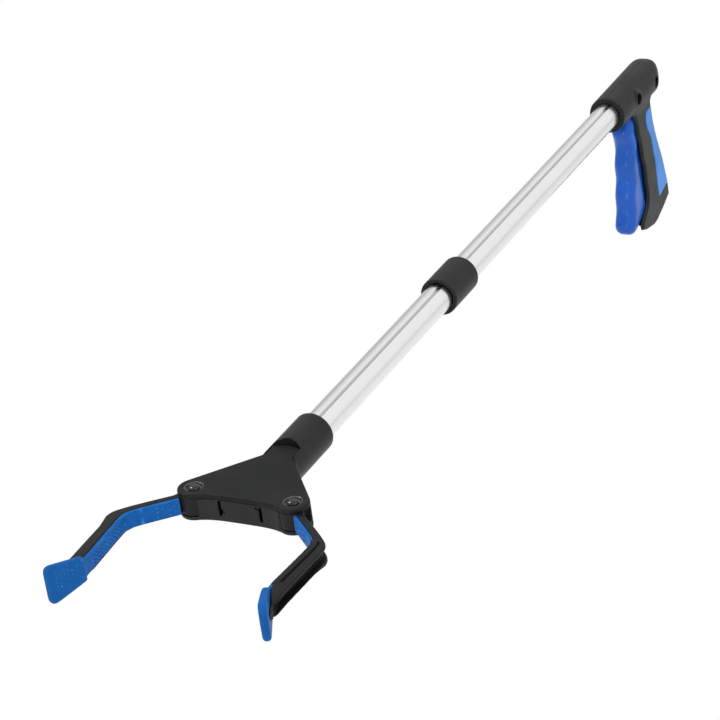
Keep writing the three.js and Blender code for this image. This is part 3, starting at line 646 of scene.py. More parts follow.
# ------------------------------------------------------------------------- head
SOCKET_R = 13.5
LOBE_R = 10.16  # head's rounded corners, about the rivets
SHOULDER_X, SHOULDER_Y = 45.2, 9.45  # where the plate starts to widen
SEAM_Z, COVER_Z = 6.08, 6.16  # top of the housing and underside of the cover plate
RIVET_HOLE_R = 2.85
# arched end of the cover's tongue, (x, y)
ARCH = [(34.6 - 3.1 * (1 - (y / 9.6) ** 2), y) for y in np.linspace(-9.6, 9.6, 25)]


def half_delta(inset=0.0):
    """Left half of the widening plate, (x, y) from the shoulder to the centre of its front."""
    radius = LOBE_R - inset
    dx, dy = math.cos(rad(37.5)), math.sin(rad(37.5))
    points = [(SHOULDER_X, SHOULDER_Y - inset / dx),
              (PIVOT_X - dy * radius, PIVOT_Y + dx * radius)]
    points += arc(PIVOT_X, PIVOT_Y, radius, 120, -30, 30)
    # concave front edge
    front = [(99.6, 26.5), (98.2, 21.5), (97.4, 14), (97.3, 0)]
    return points + chaikin([points[-1]] + [(x - inset, y) for x, y in front])[1:]


def delta(x0, inset=0.0):
    return both_sides([(x0, SHOULDER_Y - inset)] + half_delta(inset))


def build_head():
    grid = Grid((-0.2, -44.5, -13.6), (102.5, 44.5, 13.6), 0.44)
    socket = grid.disc("x", SOCKET_R, AXIS, 0, 51.5, 0.9)
    plate = grid.prism("z", delta(40), -HEAD_HALF, SEAM_Z, 0.9)
    shape = join(socket, plate, 2.6)
    # flat cut for the cover's tongue, with an arched end
    notch = [(70, 9.62)] + ARCH[::-1] + [(70, -9.62)]
    shape = cut(shape, grid.prism("z", notch, SEAM_Z, 30), 0.5)
    above = grid.prism("z", delta(33, -0.2), SEAM_Z, 30)
    shape = cut(shape, np.maximum(above, 44.0 - grid.x), 0.5)
    # underside of the socket is trimmed to the plate
    shape = cut(shape, grid.box((37.5, 70), (-30, 30), (-30, -HEAD_HALF), 0.0), 1.2)
    # tube seat and cord way
    shape = cut(shape, grid.disc("x", SEAT_R, AXIS, -5, 31), 0.5)
    shape = cut(shape, grid.disc("x", 1.8, AXIS, 20, 60), 0.3)
    # hollow of the plate, opened out round the jaw hubs
    hollow = grid.outline("z", both_sides(
        [(47, 6.6), (50, 10.4), (86, 38.0), (93.5, 30), (95.1, 25), (95.0, 14)]))
    for _, side in SIDES:
        pivot = (PIVOT_X, side * PIVOT_Y)
        hollow = np.minimum(hollow, grid.rod("z", 10.04, pivot))
        mouth = [pivot] + [(x, side * y) for x, y in arc(PIVOT_X, PIVOT_Y, 18, -20, 108, 8)]
        hollow = np.minimum(hollow, grid.outline("z", mouth))
    shape = cut(shape, extrude(hollow, slab(grid.z, -6.3, 30), 0.2), 0.12)
    # rivet holes with their recesses below, and two upright slots in the front wall
    for _, side in SIDES:
        pivot = (PIVOT_X, side * PIVOT_Y)
        slot_y = side * 13.7
        shape = cut(shape, grid.rod("z", RIVET_HOLE_R, pivot), 0.3)
        shape = cut(shape, grid.disc("z", 5.0, pivot, -20, -HEAD_HALF + 1.3), 0.35)
        slot = grid.box((93, 100), (slot_y - 1.0, slot_y + 1.0), (-5.2, 5.2), 0.3)
        shape = cut(shape, slot, 0.4)
    # side notches of the two slots
    shape = cut(shape, grid.box((96.2, 100), (-13.7, -10.6), (-3.4, -0.6), 0.3), 0.35)
    shape = cut(shape, grid.box((96.2, 100), (10.4, 13.7), (2.7, 4.9), 0.3), 0.35)
    # shallow recesses under the plate
    for y_span in ((-22, -8), (8, 22)):
        shape = cut(shape, grid.box((66, 88), y_span, (-12, -HEAD_HALF + 0.7), 0.5), 0.6)
    # stepped hole in the underside of the socket
    shape = cut(shape, grid.disc("z", 1.75, (12, 0), -20, -8), 0.2)
    shape = cut(shape, grid.disc("z", 3.4, (12, 0), -20, -11.4), 0.3)
    return surface(grid, shape)


def build_cover():
    grid = Grid((30.5, -44.0, 6.0), (102.0, 44.0, 9.1), 0.40)
    outline = [(x + 0.32, y * 0.982) for x, y in ARCH] + both_sides(half_delta())
    # rounded upper edge, crisp lower one
    shape = grid.prism("z", outline, 2.0, HEAD_HALF, 1.0)
    shape = overlap(shape, COVER_Z - grid.z, 0.2)
    for _, side in SIDES:
        pivot = (PIVOT_X, side * PIVOT_Y)
        shape = cut(shape, grid.disc("z", 4.85, pivot, HEAD_HALF - 1.5, 30, 0.4), 1.3)
        shape = cut(shape, grid.rod("z", RIVET_HOLE_R, pivot), 0.2)
    return surface(grid, shape)


make("head_body", build_head(), "lower", BLACK, "head_housing")
make("head_plate", build_cover(), "lower", PLATE_BLACK, "head_cover")

# domed top, shank and flat foot of a rivet, (radius, z)
RIVET_RIM_R, RIVET_RIM_Z, RIVET_DOME = 3.8, 8.19, 1.36
rivet_profile = [(0.0, RIVET_RIM_Z + RIVET_DOME)]
rivet_profile += [(RIVET_RIM_R * math.sin(rad(a)), RIVET_RIM_Z + RIVET_DOME * math.cos(rad(a)) ** 0.9)
                  for a in np.linspace(8, 90, 14)]
rivet_profile += [(RIVET_RIM_R, 8.02), (3.7, 7.9), (2.6, 7.9), (2.6, -7.85), (4.1, -7.85),
                  (4.2, -7.95), (4.2, -8.5), (4.1, -8.62), (0.0, -8.62)]
for side_name, side in SIDES:
    make("rivet_" + side_name, lathe(rivet_profile, 64, (PIVOT_X, side * PIVOT_Y, 0)),
         "lower", RIVET, "jaw_rivet_" + side_name)

# ------------------------------------------------------------------------- jaws
# Left jaw, (x, y): gripping face of the liner, from the head to the paddle's root
JAW_LINE = chaikin([(101.6, 38.1), (114.8, 52.3), (118.6, 56.2), (121.9, 59.2), (125.4, 61.4),
                    (129.4, 61.9), (155.4, 59.9), (167.6, 58.9), (172.6, 58.9)])
# outer edge of the arm, from the paddle back to the head
ARM_OUTER = [(192.6, 70.2), (175.8, 70.0), (166.6, 70.4), (152.4, 71.2), (132.2, 72.1),
             (127.6, 71.9), (123.9, 70.6), (120.6, 67.9), (111.8, 58.9), (98.6, 43.9)]
# region outside the lower flange's edge
ARM_WAIST = [(129, 76), (130.5, 72.2), (134.5, 71.1), (140, 70.1), (148, 68.9), (156, 67.8),
             (162.4, 67.0), (167, 66.9), (172, 67.2), (181, 68.8), (190, 70.6), (196, 76)]
ARM_HALF = 5.65  # half the arm's thickness
HUB_Z = (-5.9, ARM_HALF)
PAD_ROOT, PAD_TIP, PAD_THICK = (177.3, 57.4), (198.6, 66.8), 5.2
PAD_LEN = math.hypot(PAD_TIP[0] - PAD_ROOT[0], PAD_TIP[1] - PAD_ROOT[1])
pad_along = ((PAD_TIP[0] - PAD_ROOT[0]) / PAD_LEN, (PAD_TIP[1] - PAD_ROOT[1]) / PAD_LEN)
pad_out = (-pad_along[1], pad_along[0])
LEVER, LEVER_DEG = 11.7, 10  # drive lever: its length, and its angle from -Y towards -X
PIVOT = (PIVOT_X, PIVOT_Y)


def pad_point(along, out):
    return (PAD_ROOT[0] + pad_along[0] * along + pad_out[0] * out,
            PAD_ROOT[1] + pad_along[1] * along + pad_out[1] * out)


def lever_point(along, side):
    sine, cosine = math.sin(rad(LEVER_DEG)), math.cos(rad(LEVER_DEG))
    return (PIVOT_X - sine * along + cosine * side, PIVOT_Y - cosine * along - sine * side)


LEVER_END = lever_point(LEVER, 0)


def rail_edge(x):
    """Height at which the rail takes over from the liner; it fades out at both ends."""
    a = np.clip((x - 119.0) / 13.0, 0, 1)
    b = np.clip((172.0 - x) / 7.0, 0, 1)
    return 5.75 - 0.95 * (a * a * (3 - 2 * a)) * (b * b * (3 - 2 * b))


def offset_run(distance, x0, x1):
    """The part of the jaw line's offset that lies between two x."""
    return [p for p in offset_line(JAW_LINE, distance) if x0 < p[0] < x1]


def build_hub(grid):
    hub = grid.disc("z", 9.85, PIVOT, *HUB_Z, 0.25)
    # hollow on the outer side, between the arm's root and the head's wall; (radius, degrees)
    polar = [(6.2, 66), (9.0, 60), (13.0, 62), (14.0, 88), (13.0, 122), (6.2, 122), (6.0, 94)]
    pocket = [(PIVOT_X + r * math.cos(rad(a)), PIVOT_Y + r * math.sin(rad(a))) for r, a in polar]
    hub = cut(hub, grid.prism("z", pocket, -4.2, 10, 0.4), 0.4)
    # forked lever
    end = grid.disc("z", 3.5, LEVER_END, *HUB_Z, 0.4)
    bridge = [lever_point(5, -5.5), lever_point(5, 5.5),
              lever_point(LEVER, 3.5), lever_point(LEVER, -3.5)]
    hub = join(hub, join(end, grid.prism("z", bridge, *HUB_Z, 0.4), 0.5), 0.8)
    slot = [lever_point(5.0, -16), lever_point(5.0, 16), lever_point(22, 16), lever_point(22, -16)]
    return cut(hub, grid.prism("z", slot, -2.45, 2.45), 0.3)


def build_arm():
    grid = Grid((82, 17.5, -6.2), (194.5, 73.5, 6.2), 0.40)
    outline = [(97.6, 33.9)] + offset_line(JAW_LINE, 2.25)
    outline += [pad_point(1.0, PAD_THICK + 0.25), pad_point(17.0, PAD_THICK + 0.25)]
    outline += chaikin(ARM_OUTER) + [(94.6, 41.6), (92.0, 36.0)]
    shape = grid.prism("z", outline, -ARM_HALF, ARM_HALF, 0.55)
    # inner rail that overlaps the liner's edge on the upper face only
    rail = offset_run(0.05, 118.5, 171.5) + offset_run(4.3, 117.0, 171.5)[::-1]
    rail_depth = np.maximum(grid.z - ARM_HALF, rail_edge(grid.x) - grid.z)
    shape = join(shape, extrude(grid.outline("z", rail), rail_depth, 0.3), 0.3)
    # outer channel between the two flanges
    channel = offset_run(5.9, 119.5, math.inf)
    channel += [(178, 66.0), (188.8, 69.4), (188.8, 90), (121.5, 90), (117.6, 66.4)]
    shape = cut(shape, grid.prism("z", channel, -3.3, 3.5, 0.5), 0.5)
    # the lower flange's outer edge runs from the elbow to a waist ahead of the paddle
    shape = cut(shape, grid.prism("z", ARM_WAIST, -9, -3.9, 0.3), 0.8)
    # relief groove along the railed face, beside the rail
    middle = offset_run(4.9, 122.5, 167.0)
    strip = offset_line(middle, 0.75) + offset_line(middle, -0.75)[::-1]
    shape = cut(shape, grid.prism("z", strip, ARM_HALF - 1.3, ARM_HALF + 3), 0.4)
    # both faces slope in towards the paddle
    fall = np.maximum(0, grid.x - 173.0) * 0.17 + np.maximum(0, grid.y - 64.0) * 0.06
    shape = overlap(shape, (grid.z - (ARM_HALF + 0.6)) + fall, 0.8)
    shape = overlap(shape, (-grid.z - (ARM_HALF + 0.6)) + fall, 0.8)
    shape = join(build_hub(grid), shape, 0.9)
    shape = cut(shape, grid.rod("z", 2.8, PIVOT), 0.3)
    shape = cut(shape, grid.rod("z", 1.68, LEVER_END), 0.2)
    return surface(grid, shape)


def pad_crown(along, z):
    """How far the paddle's face falls back from its middle."""
    return 0.35 * ((z / 11.6) ** 2 + ((along - PAD_LEN / 2) / (PAD_LEN / 2)) ** 2) * 0.5


def build_paddle(grid):
    along = (grid.x - PAD_ROOT[0]) * pad_along[0] + (grid.y - PAD_ROOT[1]) * pad_along[1]
    out = (grid.x - PAD_ROOT[0]) * pad_out[0] + (grid.y - PAD_ROOT[1]) * pad_out[1]
    end = PAD_LEN + 2.4
    outline = rounded([(-0.6, -7.8), (end, -13.3), (end, 13.3), (-0.6, 7.8)],
                      [1.8, 4.8, 4.8, 1.8], 10)
    # outline distance, looked up from a table of (along, z)
    first, second = np.meshgrid(np.linspace(-8, PAD_LEN + 8, 260), grid.ticks[2], indexing="ij")
    table = outline_distance(outline, first, second).astype(np.float32)
    place = np.clip((along + 8) / (PAD_LEN + 16) * 259, 0, 258.999)
    low = place.astype(int)
    t = (place - low).astype(np.float32)
    column = np.arange(len(grid.ticks[2])).reshape(1, 1, -1)
    flat = table[low, column] * (1 - t) + table[low + 1, column] * t
    depth = np.maximum(-(out - pad_crown(along, grid.z)), out - PAD_THICK)
    return extrude(flat, depth, 2.1)


def add_dome(grid, shape, centre, normal, radius, height, sign):
    """Adds (sign 1) or presses in (sign -1) a shallow dome at a place on the surface."""
    ball_r = (radius * radius + height * height) / (2 * height)
    x = centre[0] + normal[0] * sign * (height - ball_r)
    y = centre[1] + normal[1] * sign * (height - ball_r)
    near = tuple(slice(np.searchsorted(ticks, c - radius - 1), np.searchsorted(ticks, c + radius + 1))
                 for ticks, c in zip(grid.ticks, centre))
    ball = np.sqrt((grid.x[near[0]] - x) ** 2 + (grid.y[:, near[1]] - y) ** 2
                   + (grid.z[:, :, near[2]] - centre[2]) ** 2) - ball_r
    shape[near] = join(shape[near], ball, 0.18) if sign > 0 else cut(shape[near], ball, 0.18)


def build_pad():
    grid = Grid((100.5, 36.0, -13.5), (202.5, 74.5, 13.5), 0.36)
    outline = JAW_LINE + [pad_point(-0.6, 1.6), pad_point(3, 0.8), pad_point(3, 4.0),
                          pad_point(0.2, 4.0)] + offset_line(JAW_LINE, 2.0)[::-1]
    shape = grid.prism("z", outline, -5.5, 5.5, 0.45)
    # the liner stops under the arm's rail on one face
    shape = overlap(shape, grid.z - rail_edge(grid.x) + 0.12, 0.3)
    shape = grid.full(join(shape, build_paddle(grid), 0.5))

    line = np.array(JAW_LINE)
    steps = np.linalg.norm(np.diff(line, axis=0), axis=1)
    reached = np.concatenate([[0], np.cumsum(steps)])

    def on_line(distance):
        """Place on the jaw line and the normal there."""
        k = min(np.searchsorted(reached, distance, side="right") - 1, len(line) - 2)
        run = reached[k + 1] - reached[k]
        t = (distance - reached[k]) / run
        along = (line[k + 1] - line[k]) / run
        return line[k] * (1 - t) + line[k + 1] * t, (along[1], -along[0])

    # raised dots on the liner's first run, then small pressed dimples on its second:
    # places along the line, pitch across it, height, sign
    runs = ((3.0 + 3.7 * np.arange(5), 3.3, 0.55, 1),
            (np.arange(33.5, reached[-1] - 6.5, 1.75), 2.8, 0.62, -1))
    for places, pitch, height, sign in runs:
        for k, distance in enumerate(places):
            (x, y), normal = on_line(distance)
            for z in ((-pitch, 0.0, pitch) if k % 2 else (-pitch / 2, pitch / 2)):
                add_dome(grid, shape, (x, y, z), normal, 0.95, height, sign)
    # raised dots on the paddle's face
    pitch = 2.85
    for k, along in enumerate(np.arange(2.8, PAD_LEN - 0.6, pitch)):
        half = 7.6 + 5.4 * along / PAD_LEN - 2.6
        count = int(half // pitch)
        if k % 2:
            heights = [j * pitch for j in range(-count, count + 1)]
        else:
            heights = [(j + 0.5) * pitch for j in range(-count - 1, count + 1)
                       if abs((j + 0.5) * pitch) < half]
        for z in heights:
            x, y = pad_point(along, pad_crown(along, z))
            add_dome(grid, shape, (x, y, z), (-pad_out[0], -pad_out[1]), 0.82, 0.36, 1)
    return surface(grid, shape)


def make_jaws(part, mesh, look, cad_part):
    """The left piece, and the same piece turned over about the tool's long axis."""
    points, faces = mesh
    for side_name, side in SIDES:
        make(f"jaw_{side_name}_{part}", (points * (1, side, side), faces),
             f"jaw_{side_name}", look, f"{cad_part}_{side_name}")


make_jaws("arm", build_arm(), ARM_BLACK, "jaw_arm")
make_jaws("rubber", build_pad(), RUBBER, "jaw_pad")

# ----------------------------------------------------------------------- handle
BARREL_X0, BARREL_X1 = -609.6, -515.2
BARREL_R0, BARREL_R1 = 15.2, 14.5
GRIP_HALF, CHANNEL_HALF = 12.1, 9.2
TRIGGER_PIVOT = (-560.0, 4.5)  # (x, z)
# screws, (x, z): two in the barrel and one in the grip
SCREW_FRONT, SCREW_REAR, SCREW_GRIP = (-549.6, 1.4), (-592.0, -0.8), (-593.0, -72.0)


def longer(points):
    """Side-view points below the barrel, drawn out to the grip's full depth."""
    return [(x, z if z > -20 else -20 + (z + 20) * 1.045) for x, z in points]


# Side views, (x, z). The grip: its front going down, its foot, and its back going up
GRIP_FRONT = longer([
    (-542.5, -8), (-547.2, -15.6), (-549.6, -22), (-549.8, -29), (-553.6, -36.5), (-555.2, -44),
    (-555.6, -51), (-559.2, -58.6), (-560.4, -66), (-560.2, -73), (-562.2, -80), (-562.8, -85),
    (-561.6, -91), (-557.2, -96.2), (-551.8, -99.6), (-547.6, -102.4), (-545.6, -105.2)])
GRIP_FOOT = longer([(-546.9, -108.9), (-556.5, -112.4), (-573, -115.3), (-580, -114.6),
                    (-596, -109.8), (-610.9, -103.8)])
GRIP_BACK = longer([(-609.6, -94.5), (-604.6, -79.5), (-599.4, -65), (-593.2, -52.5),
                    (-588.0, -40.6), (-584.4, -30), (-582.6, -21.3), (-581.6, -10.2), (-581, -4)])
GRIP_SIDE = (chaikin(GRIP_FRONT)
             + rounded([GRIP_FRONT[-1]] + GRIP_FOOT + [GRIP_BACK[0]],
                       [0, 1.5, 3, 4, 4, 6, 1.6, 0], 5)[1:-1]
             + chaikin(GRIP_BACK))
BARREL_SIDE = rounded(
    [(BARREL_X1 + 4, -22), (BARREL_X1 + 4, 22), (-599.0, 22), (-599.0, 15.8), (-604.6, 14.6),
     (-607.8, 11.6), (-609.2, 8.0), (BARREL_X0, 3.5), (-608.6, -2), (-605.6, -8.0),
     (-601.6, -12.6), (-597, -16.4), (-592, -22)],
    [0, 0, 0, 4, 4, 4, 4, 4, 4, 3, 3, 3, 0], 5)
# the barrel from above, (x, y), with a half-ellipse at the rear
BARREL_PLAN = [(BARREL_X1 + 4, -20), (BARREL_X1 + 4, 20), (-590.0, 20)]
BARREL_PLAN += [(-590.0 - 19.6 * math.cos(rad(a)), 16.2 * math.sin(rad(a)))
                for a in range(90, -91, -6)]
BARREL_PLAN += [(-590.0, -20)]
# soft insert's front edge, then round behind the grip
INSERT_SIDE = longer(chaikin([
    (-571.8, -17.9), (-569.0, -20.0), (-567.7, -25), (-569.4, -32), (-575.6, -40), (-578.2, -47),
    (-579.6, -56), (-582.6, -64), (-583.4, -74), (-584.2, -84), (-586.4, -95.5)]))
INSERT_SIDE += longer([(-587.2, -96.8), (-588.4, -96.6), (-608.6, -92.0), (-640, -85)])
INSERT_SIDE += [(-640, -14), (-584.9, -17.0), (-577, -17.6)]
# room inside the barrel
ROOM_SIDE = [(-594, -11), (-542.2, -11), (-542.2, 20), (-590, 20), (-594, 9), (-597, 3), (-597, -8)]
# channel for the trigger, open to the front
CHANNEL_SIDE = rounded(
    longer([(-500, -13.8), (-543, -13.8), (-543, -5), (-568, -5), (-578, -12), (-580.6, -22),
            (-584.0, -40), (-591.5, -58), (-597, -76), (-602.4, -93), (-604.4, -100.2),
            (-588, -110.2), (-579, -113.0), (-573, -113.4), (-565.5, -112.7), (-562, -120),
            (-500, -120)]),
    [0, 0, 0, 3, 4, 4, 4, 4, 4, 4, 3, 2, 2, 1, 1, 0, 0], 4)


def grip_outer(grid):
    return grid.prism("y", GRIP_SIDE, -GRIP_HALF, GRIP_HALF, 2.6)


def barrel_outer(grid):
    taper = (grid.x - (BARREL_X0 - 1)) / (BARREL_X1 - BARREL_X0 + 1)
    radius = BARREL_R0 + (BARREL_R1 - BARREL_R0) * taper
    shape = extrude(grid.rod("x", 0, AXIS) - radius, grid.x - BARREL_X1, 1.0)
    shape = overlap(shape, grid.outline("y", BARREL_SIDE), 3.4)
    return overlap(shape, grid.outline("z", BARREL_PLAN), 5.0)


def build_shell(grid):
    """What both handle halves share, on the +Y side."""
    barrel = barrel_outer(grid)
    shape = join(barrel, grip_outer(grid), 3.6)
    seat = grid.disc("x", SEAT_R, AXIS, -543.4, -480)
    shape = cut(shape, seat, 0.45)
    room = np.maximum(grid.rod("x", 11.6, AXIS), np.abs(grid.y) - 8.4)
    shape = cut(shape, overlap(room, grid.outline("y", ROOM_SIDE), 0.6), 0.4)
    shape = cut(shape, grid.prism("y", CHANNEL_SIDE, -CHANNEL_HALF, CHANNEL_HALF), 0.6)
    # closed underside of the barrel ahead of the trigger
    front = cut(np.maximum(barrel, -(grid.x + 541.4)), seat, 0.45)
    shape = join(shape, np.maximum(front, grid.z), 0.3)
    # screw posts
    for centre, radius, half in ((SCREW_FRONT, 3.2, 10.4), (SCREW_REAR, 3.4, 10.4),
                                 (SCREW_GRIP, 3.2, 9.5)):
        shape = join(shape, grid.disc("y", radius, centre, -half, half, 0.2), 0.5)
    return cut(shape, grid.disc("y", 2.2, TRIGGER_PIVOT, -9.9, 9.9), 0.25)


def build_handle():
    grid = Grid((-615.5, 0.0, -119.5), (-511.5, 16.4, 16.0), 0.46)
    screw_r, barrel_depth, grip_depth = 1.85, 9.8, 7.6
    left = right = build_shell(grid)
    # the left half has wells for the screw heads, the barrel's two in round bosses
    for centre, radius, top in ((SCREW_FRONT, 6.3, 14.3), (SCREW_REAR, 5.9, 12.9)):
        left = join(left, grid.disc("y", radius, centre, 9.6, top, 1.2), 2.6)
    for centre, well_r, well_y, blend in ((SCREW_FRONT, 4.55, 9.6, 0.6), (SCREW_REAR, 4.55, 9.6, 0.6),
                                          (SCREW_GRIP, 3.5, 7.4, 0.3)):
        well = extrude(grid.rod("y", well_r, centre), well_y - grid.y)
        left = cut(left, np.minimum(grid.rod("y", screw_r, centre), well), blend)
    # the right half has blind holes
    for centre, depth in ((SCREW_FRONT, barrel_depth), (SCREW_REAR, barrel_depth),
                          (SCREW_GRIP, grip_depth)):
        right = cut(right, extrude(grid.rod("y", screw_r, centre), grid.y - depth), 0.3)
    insert = np.maximum(grid.outline("y", INSERT_SIDE) - 0.2, -(grip_outer(grid) + 1.9))
    retaining_hole = extrude(grid.rod("y", 1.75, (-531, 3.2)), grid.y - 11.6)
    halves = []
    for shape, keyed in ((left, True), (right, False)):
        shape = cut(shape, insert, 0.35)
        shape = cut(shape, retaining_hole, 0.3)
        if keyed:
            shape = join(shape, key(grid, BARREL_X1 - 6, BARREL_X1 - 0.3, 9.55, 1.20), 0.3)
        # parting plane
        shape = cut(shape, grid.y - 0.03, 0.06)
        halves.append(surface(grid, shape))
    return halves


def build_insert():
    """Skin that stands slightly proud of the shell, with a rounded edge."""
    grid = Grid((-612.5, -12.9, -101.5), (-566.5, 12.9, -16.0), 0.42)
    grip = grip_outer(grid)
    shape = overlap(grid.outline("y", INSERT_SIDE) + 0.05, grip - 0.18, 0.9)
    return surface(grid, cut(shape, grip + 1.6, 0.25))


left_half, (right_points, right_faces) = build_handle()
make("handle_left", left_half, "upper", BLACK, "handle_shell_left")
make("handle_right", (right_points * (1, -1, 1), right_faces[:, ::-1]),
     "upper", BLACK, "handle_shell_right")
make("grip_soft_insert", build_insert(), "upper", INSERT, "grip_insert")

# ---------------------------------------------------------------------- trigger
TRIGGER_HALF = 8.85
# where the pull rod is pinned, (x, z)
ROD_ARM, ROD_DEG = 27, 6.5
ROD_PIN = (TRIGGER_PIVOT[0] + ROD_ARM * math.sin(rad(ROD_DEG)),
           TRIGGER_PIVOT[1] - ROD_ARM * math.cos(rad(ROD_DEG)))
# Side views, (x, z): finger side going down, then the rear going up
TRIGGER_FRONT = longer([
    (-548.6, -9.5), (-546.0, -13.5), (-542.4, -19), (-539.6, -24.0), (-539.2, -28.0),
    (-541.6, -32.5), (-543.8, -37.5), (-543.6, -43.0), (-540.4, -49.5), (-539.2, -55),
    (-540.0, -61), (-540.6, -66), (-537.6, -72), (-535.6, -78), (-536.0, -84), (-536.2, -90),
    (-532.6, -97), (-531.0, -101.5), (-532.4, -106.4), (-537, -109.5), (-542.5, -108.6)])
TRIGGER_REAR = longer([(-567.6, -101.2), (-568.6, -97.5), (-568.8, -84), (-567.4, -66),
                       (-565.4, -50), (-564.4, -36), (-563.4, -20), (-564.2, -9.5)])
# part that keeps its full width, towards the channel
TRIGGER_WIDE = longer([(-552.6, -12), (-552.8, -30), (-556.0, -50), (-556.4, -70), (-560, -90),
                       (-560, -106), (-575, -106), (-575, -12)])
# wavy rear edge of the side flanges
FLANGE_EDGE = longer(chaikin([
    (-551.7, -10), (-552.2, -17.0), (-554.6, -24), (-553.4, -31), (-553.6, -37.0), (-550.0, -43),
    (-549.8, -49), (-552.4, -55), (-552.0, -61), (-554.0, -67), (-556.6, -75), (-557.6, -83),
    (-560.8, -90), (-563.6, -100.9), (-563.6, -112)]))


def build_trigger():
    grid = Grid((-571, -9.4, -115.5), (-529.5, 9.4, 9.5), 0.36)
    flat = grid.outline("y", chaikin(TRIGGER_FRONT, 3) + chaikin(TRIGGER_REAR))
    depth = np.abs(grid.y) - TRIGGER_HALF
    # the finger side is nearly half-round in section
    a, b = np.maximum(flat + 7.2, 0) / 7.2, np.maximum(depth + 6.6, 0) / 6.6
    shape = np.where((a > 0) & (b > 0), (np.sqrt(a * a + b * b) - 1) * 6.9,
                     np.maximum(flat, depth)).astype(np.float32)
    wide = grid.prism("y", TRIGGER_WIDE, -TRIGGER_HALF, TRIGGER_HALF, 0.5)
    shape = join(shape, np.maximum(extrude(flat, depth, 0.8), wide), 1.0)
    # side recess behind the flange's edge
    behind = grid.outline("y", FLANGE_EDGE + [(-590, -116), (-590, -10)])
    shape = cut(shape, extrude(behind, 7.75 - np.abs(grid.y)), 0.6)
    # web up to the pivot
    web = [(-564.4, -12), (-556.2, -12), (-555.8, 3), (-564.3, 3)]
    web = join(grid.prism("y", web, -6.7, 6.7, 0.4),
               grid.disc("y", 4.4, TRIGGER_PIVOT, -6.7, 6.7, 0.4), 0.6)
    shape = join(shape, web, 1.0)
    # hollow behind a 3 mm finger wall, and a slot through the web
    hollow = [(-552.9, -19.0)] + [(x - 3.0, z) for x, z in chaikin(TRIGGER_FRONT[3:18])]
    hollow += longer([(-536.6, -104), (-543.2, -106.0), (-580, -97.5)]) + [(-580, -19.0)]
    shape = cut(shape, grid.prism("y", hollow, -5.9, 5.9, 1.6), 0.5)
    slot = [(-547.5, -19.5), (-547.5, 14), (-580, 14), (-580, -19.5)]
    shape = cut(shape, grid.prism("y", slot, -3.0, 3.0), 0.3)
    shape = cut(shape, grid.rod("y", 2.2, TRIGGER_PIVOT), 0.25)
    shape = cut(shape, grid.rod("y", 1.65, ROD_PIN), 0.2)
    return surface(grid, shape)


make("trigger_lever", build_trigger(), "trigger", BLUE, "trigger")

# ------------------------------------------------------------------- fold cord
# Three twisted strands, so that it reads as a laid cord
STRAND_R, STRAND_OFF, LAY = 0.42, 0.40, 3.2
# (x from the fold, z)
CORD_KNOTS = [(-34, -5.5), (-26, -5.5), (-6, -3.6), (12, -1.6), (28, 0), (39.5, 0)]
core = np.array(catmull([(FOLD_X + x, 0, z) for x, z in CORD_KNOTS], 26))
core_steps = np.linalg.norm(np.diff(core, axis=0), axis=1)
core_length = np.concatenate([[0], np.cumsum(core_steps)])
sideways = np.array([0.0, 1.0, 0.0])
upwards = np.cross(tangents(core), sideways)
for k in range(3):
    phase = 2 * math.pi * core_length / LAY + 2 * math.pi * k / 3
    turn = np.cos(phase)[:, None] * sideways + np.sin(phase)[:, None] * upwards
    strand = make("fold_cord_strand_%d" % (k + 1), sweep(core + STRAND_OFF * turn, STRAND_R, 10),
                  None, CORD, "fold_cord")
    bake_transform(strand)

# ----------------------------------------------------------------- yoke spring
SPRING_X0, SPRING_X1 = 48.2, LEVER_END[0] - 0.11 - 7.9
SPRING_R, SPRING_WIRE_R, SPRING_TURNS = 4.3, 0.5, 7.0
spring_path = []
for i in range(561):
    t = i / 560
    angle = 2 * math.pi * SPRING_TURNS * t
    # the coils are closer at the ends than in the middle
    share = t - 0.055 * math.sin(2 * math.pi * t)
    spring_path.append((SPRING_X0 + 0.6 + (SPRING_X1 - SPRING_X0 - 1.2) * share,
                        SPRING_R * math.cos(angle), SPRING_R * math.sin(angle)))
spring = make("yoke_spring", sweep(spring_path, SPRING_WIRE_R, 12),
              "lower", STEEL, "jaw_spring")
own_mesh(spring)

# ---------------------------------------------------------------- screw heads
SCREW_HEAD_R, SCREW_HEAD_Y = 3.3, 9.8


def build_screw(x, z):
    """Pan head with a cross recess, facing +Y."""
    reach = SCREW_HEAD_R + 0.3
    grid = Grid((x - reach, SCREW_HEAD_Y - 0.8, z - reach),
                (x + reach, SCREW_HEAD_Y + 2.2, z + reach), 0.14)
    dx, dz = grid.x - x, grid.z - z
    dome = np.sqrt(dx ** 2 + (grid.y - (SCREW_HEAD_Y - 4.2)) ** 2 + dz ** 2) - 6.2
    head = grid.disc("y", SCREW_HEAD_R, (x, z), SCREW_HEAD_Y, SCREW_HEAD_Y + 2.3, 0.25)
    shank = grid.disc("y", 1.5, (x, z), SCREW_HEAD_Y - 0.7, SCREW_HEAD_Y + 0.5, 0.1)
    shape = join(overlap(head, dome, 0.4), shank, 0.2)
    above = grid.y - (SCREW_HEAD_Y + 0.75)
    for u, v in ((dx, dz), (dz, dx)):
        blade = np.maximum(np.abs(u) - (0.30 + 0.10 * np.maximum(above, 0)),
                           np.abs(v) - (0.9 + 0.55 * np.maximum(above, 0)))
        shape = cut(shape, np.maximum(blade, -above), 0.12)
    return surface(grid, shape)


for end_name, centre in (("front", SCREW_FRONT), ("rear", SCREW_REAR)):
    make(f"screw_{end_name}_head", build_screw(*centre), "upper", DARK_STEEL,
         f"handle_screw_{end_name}")


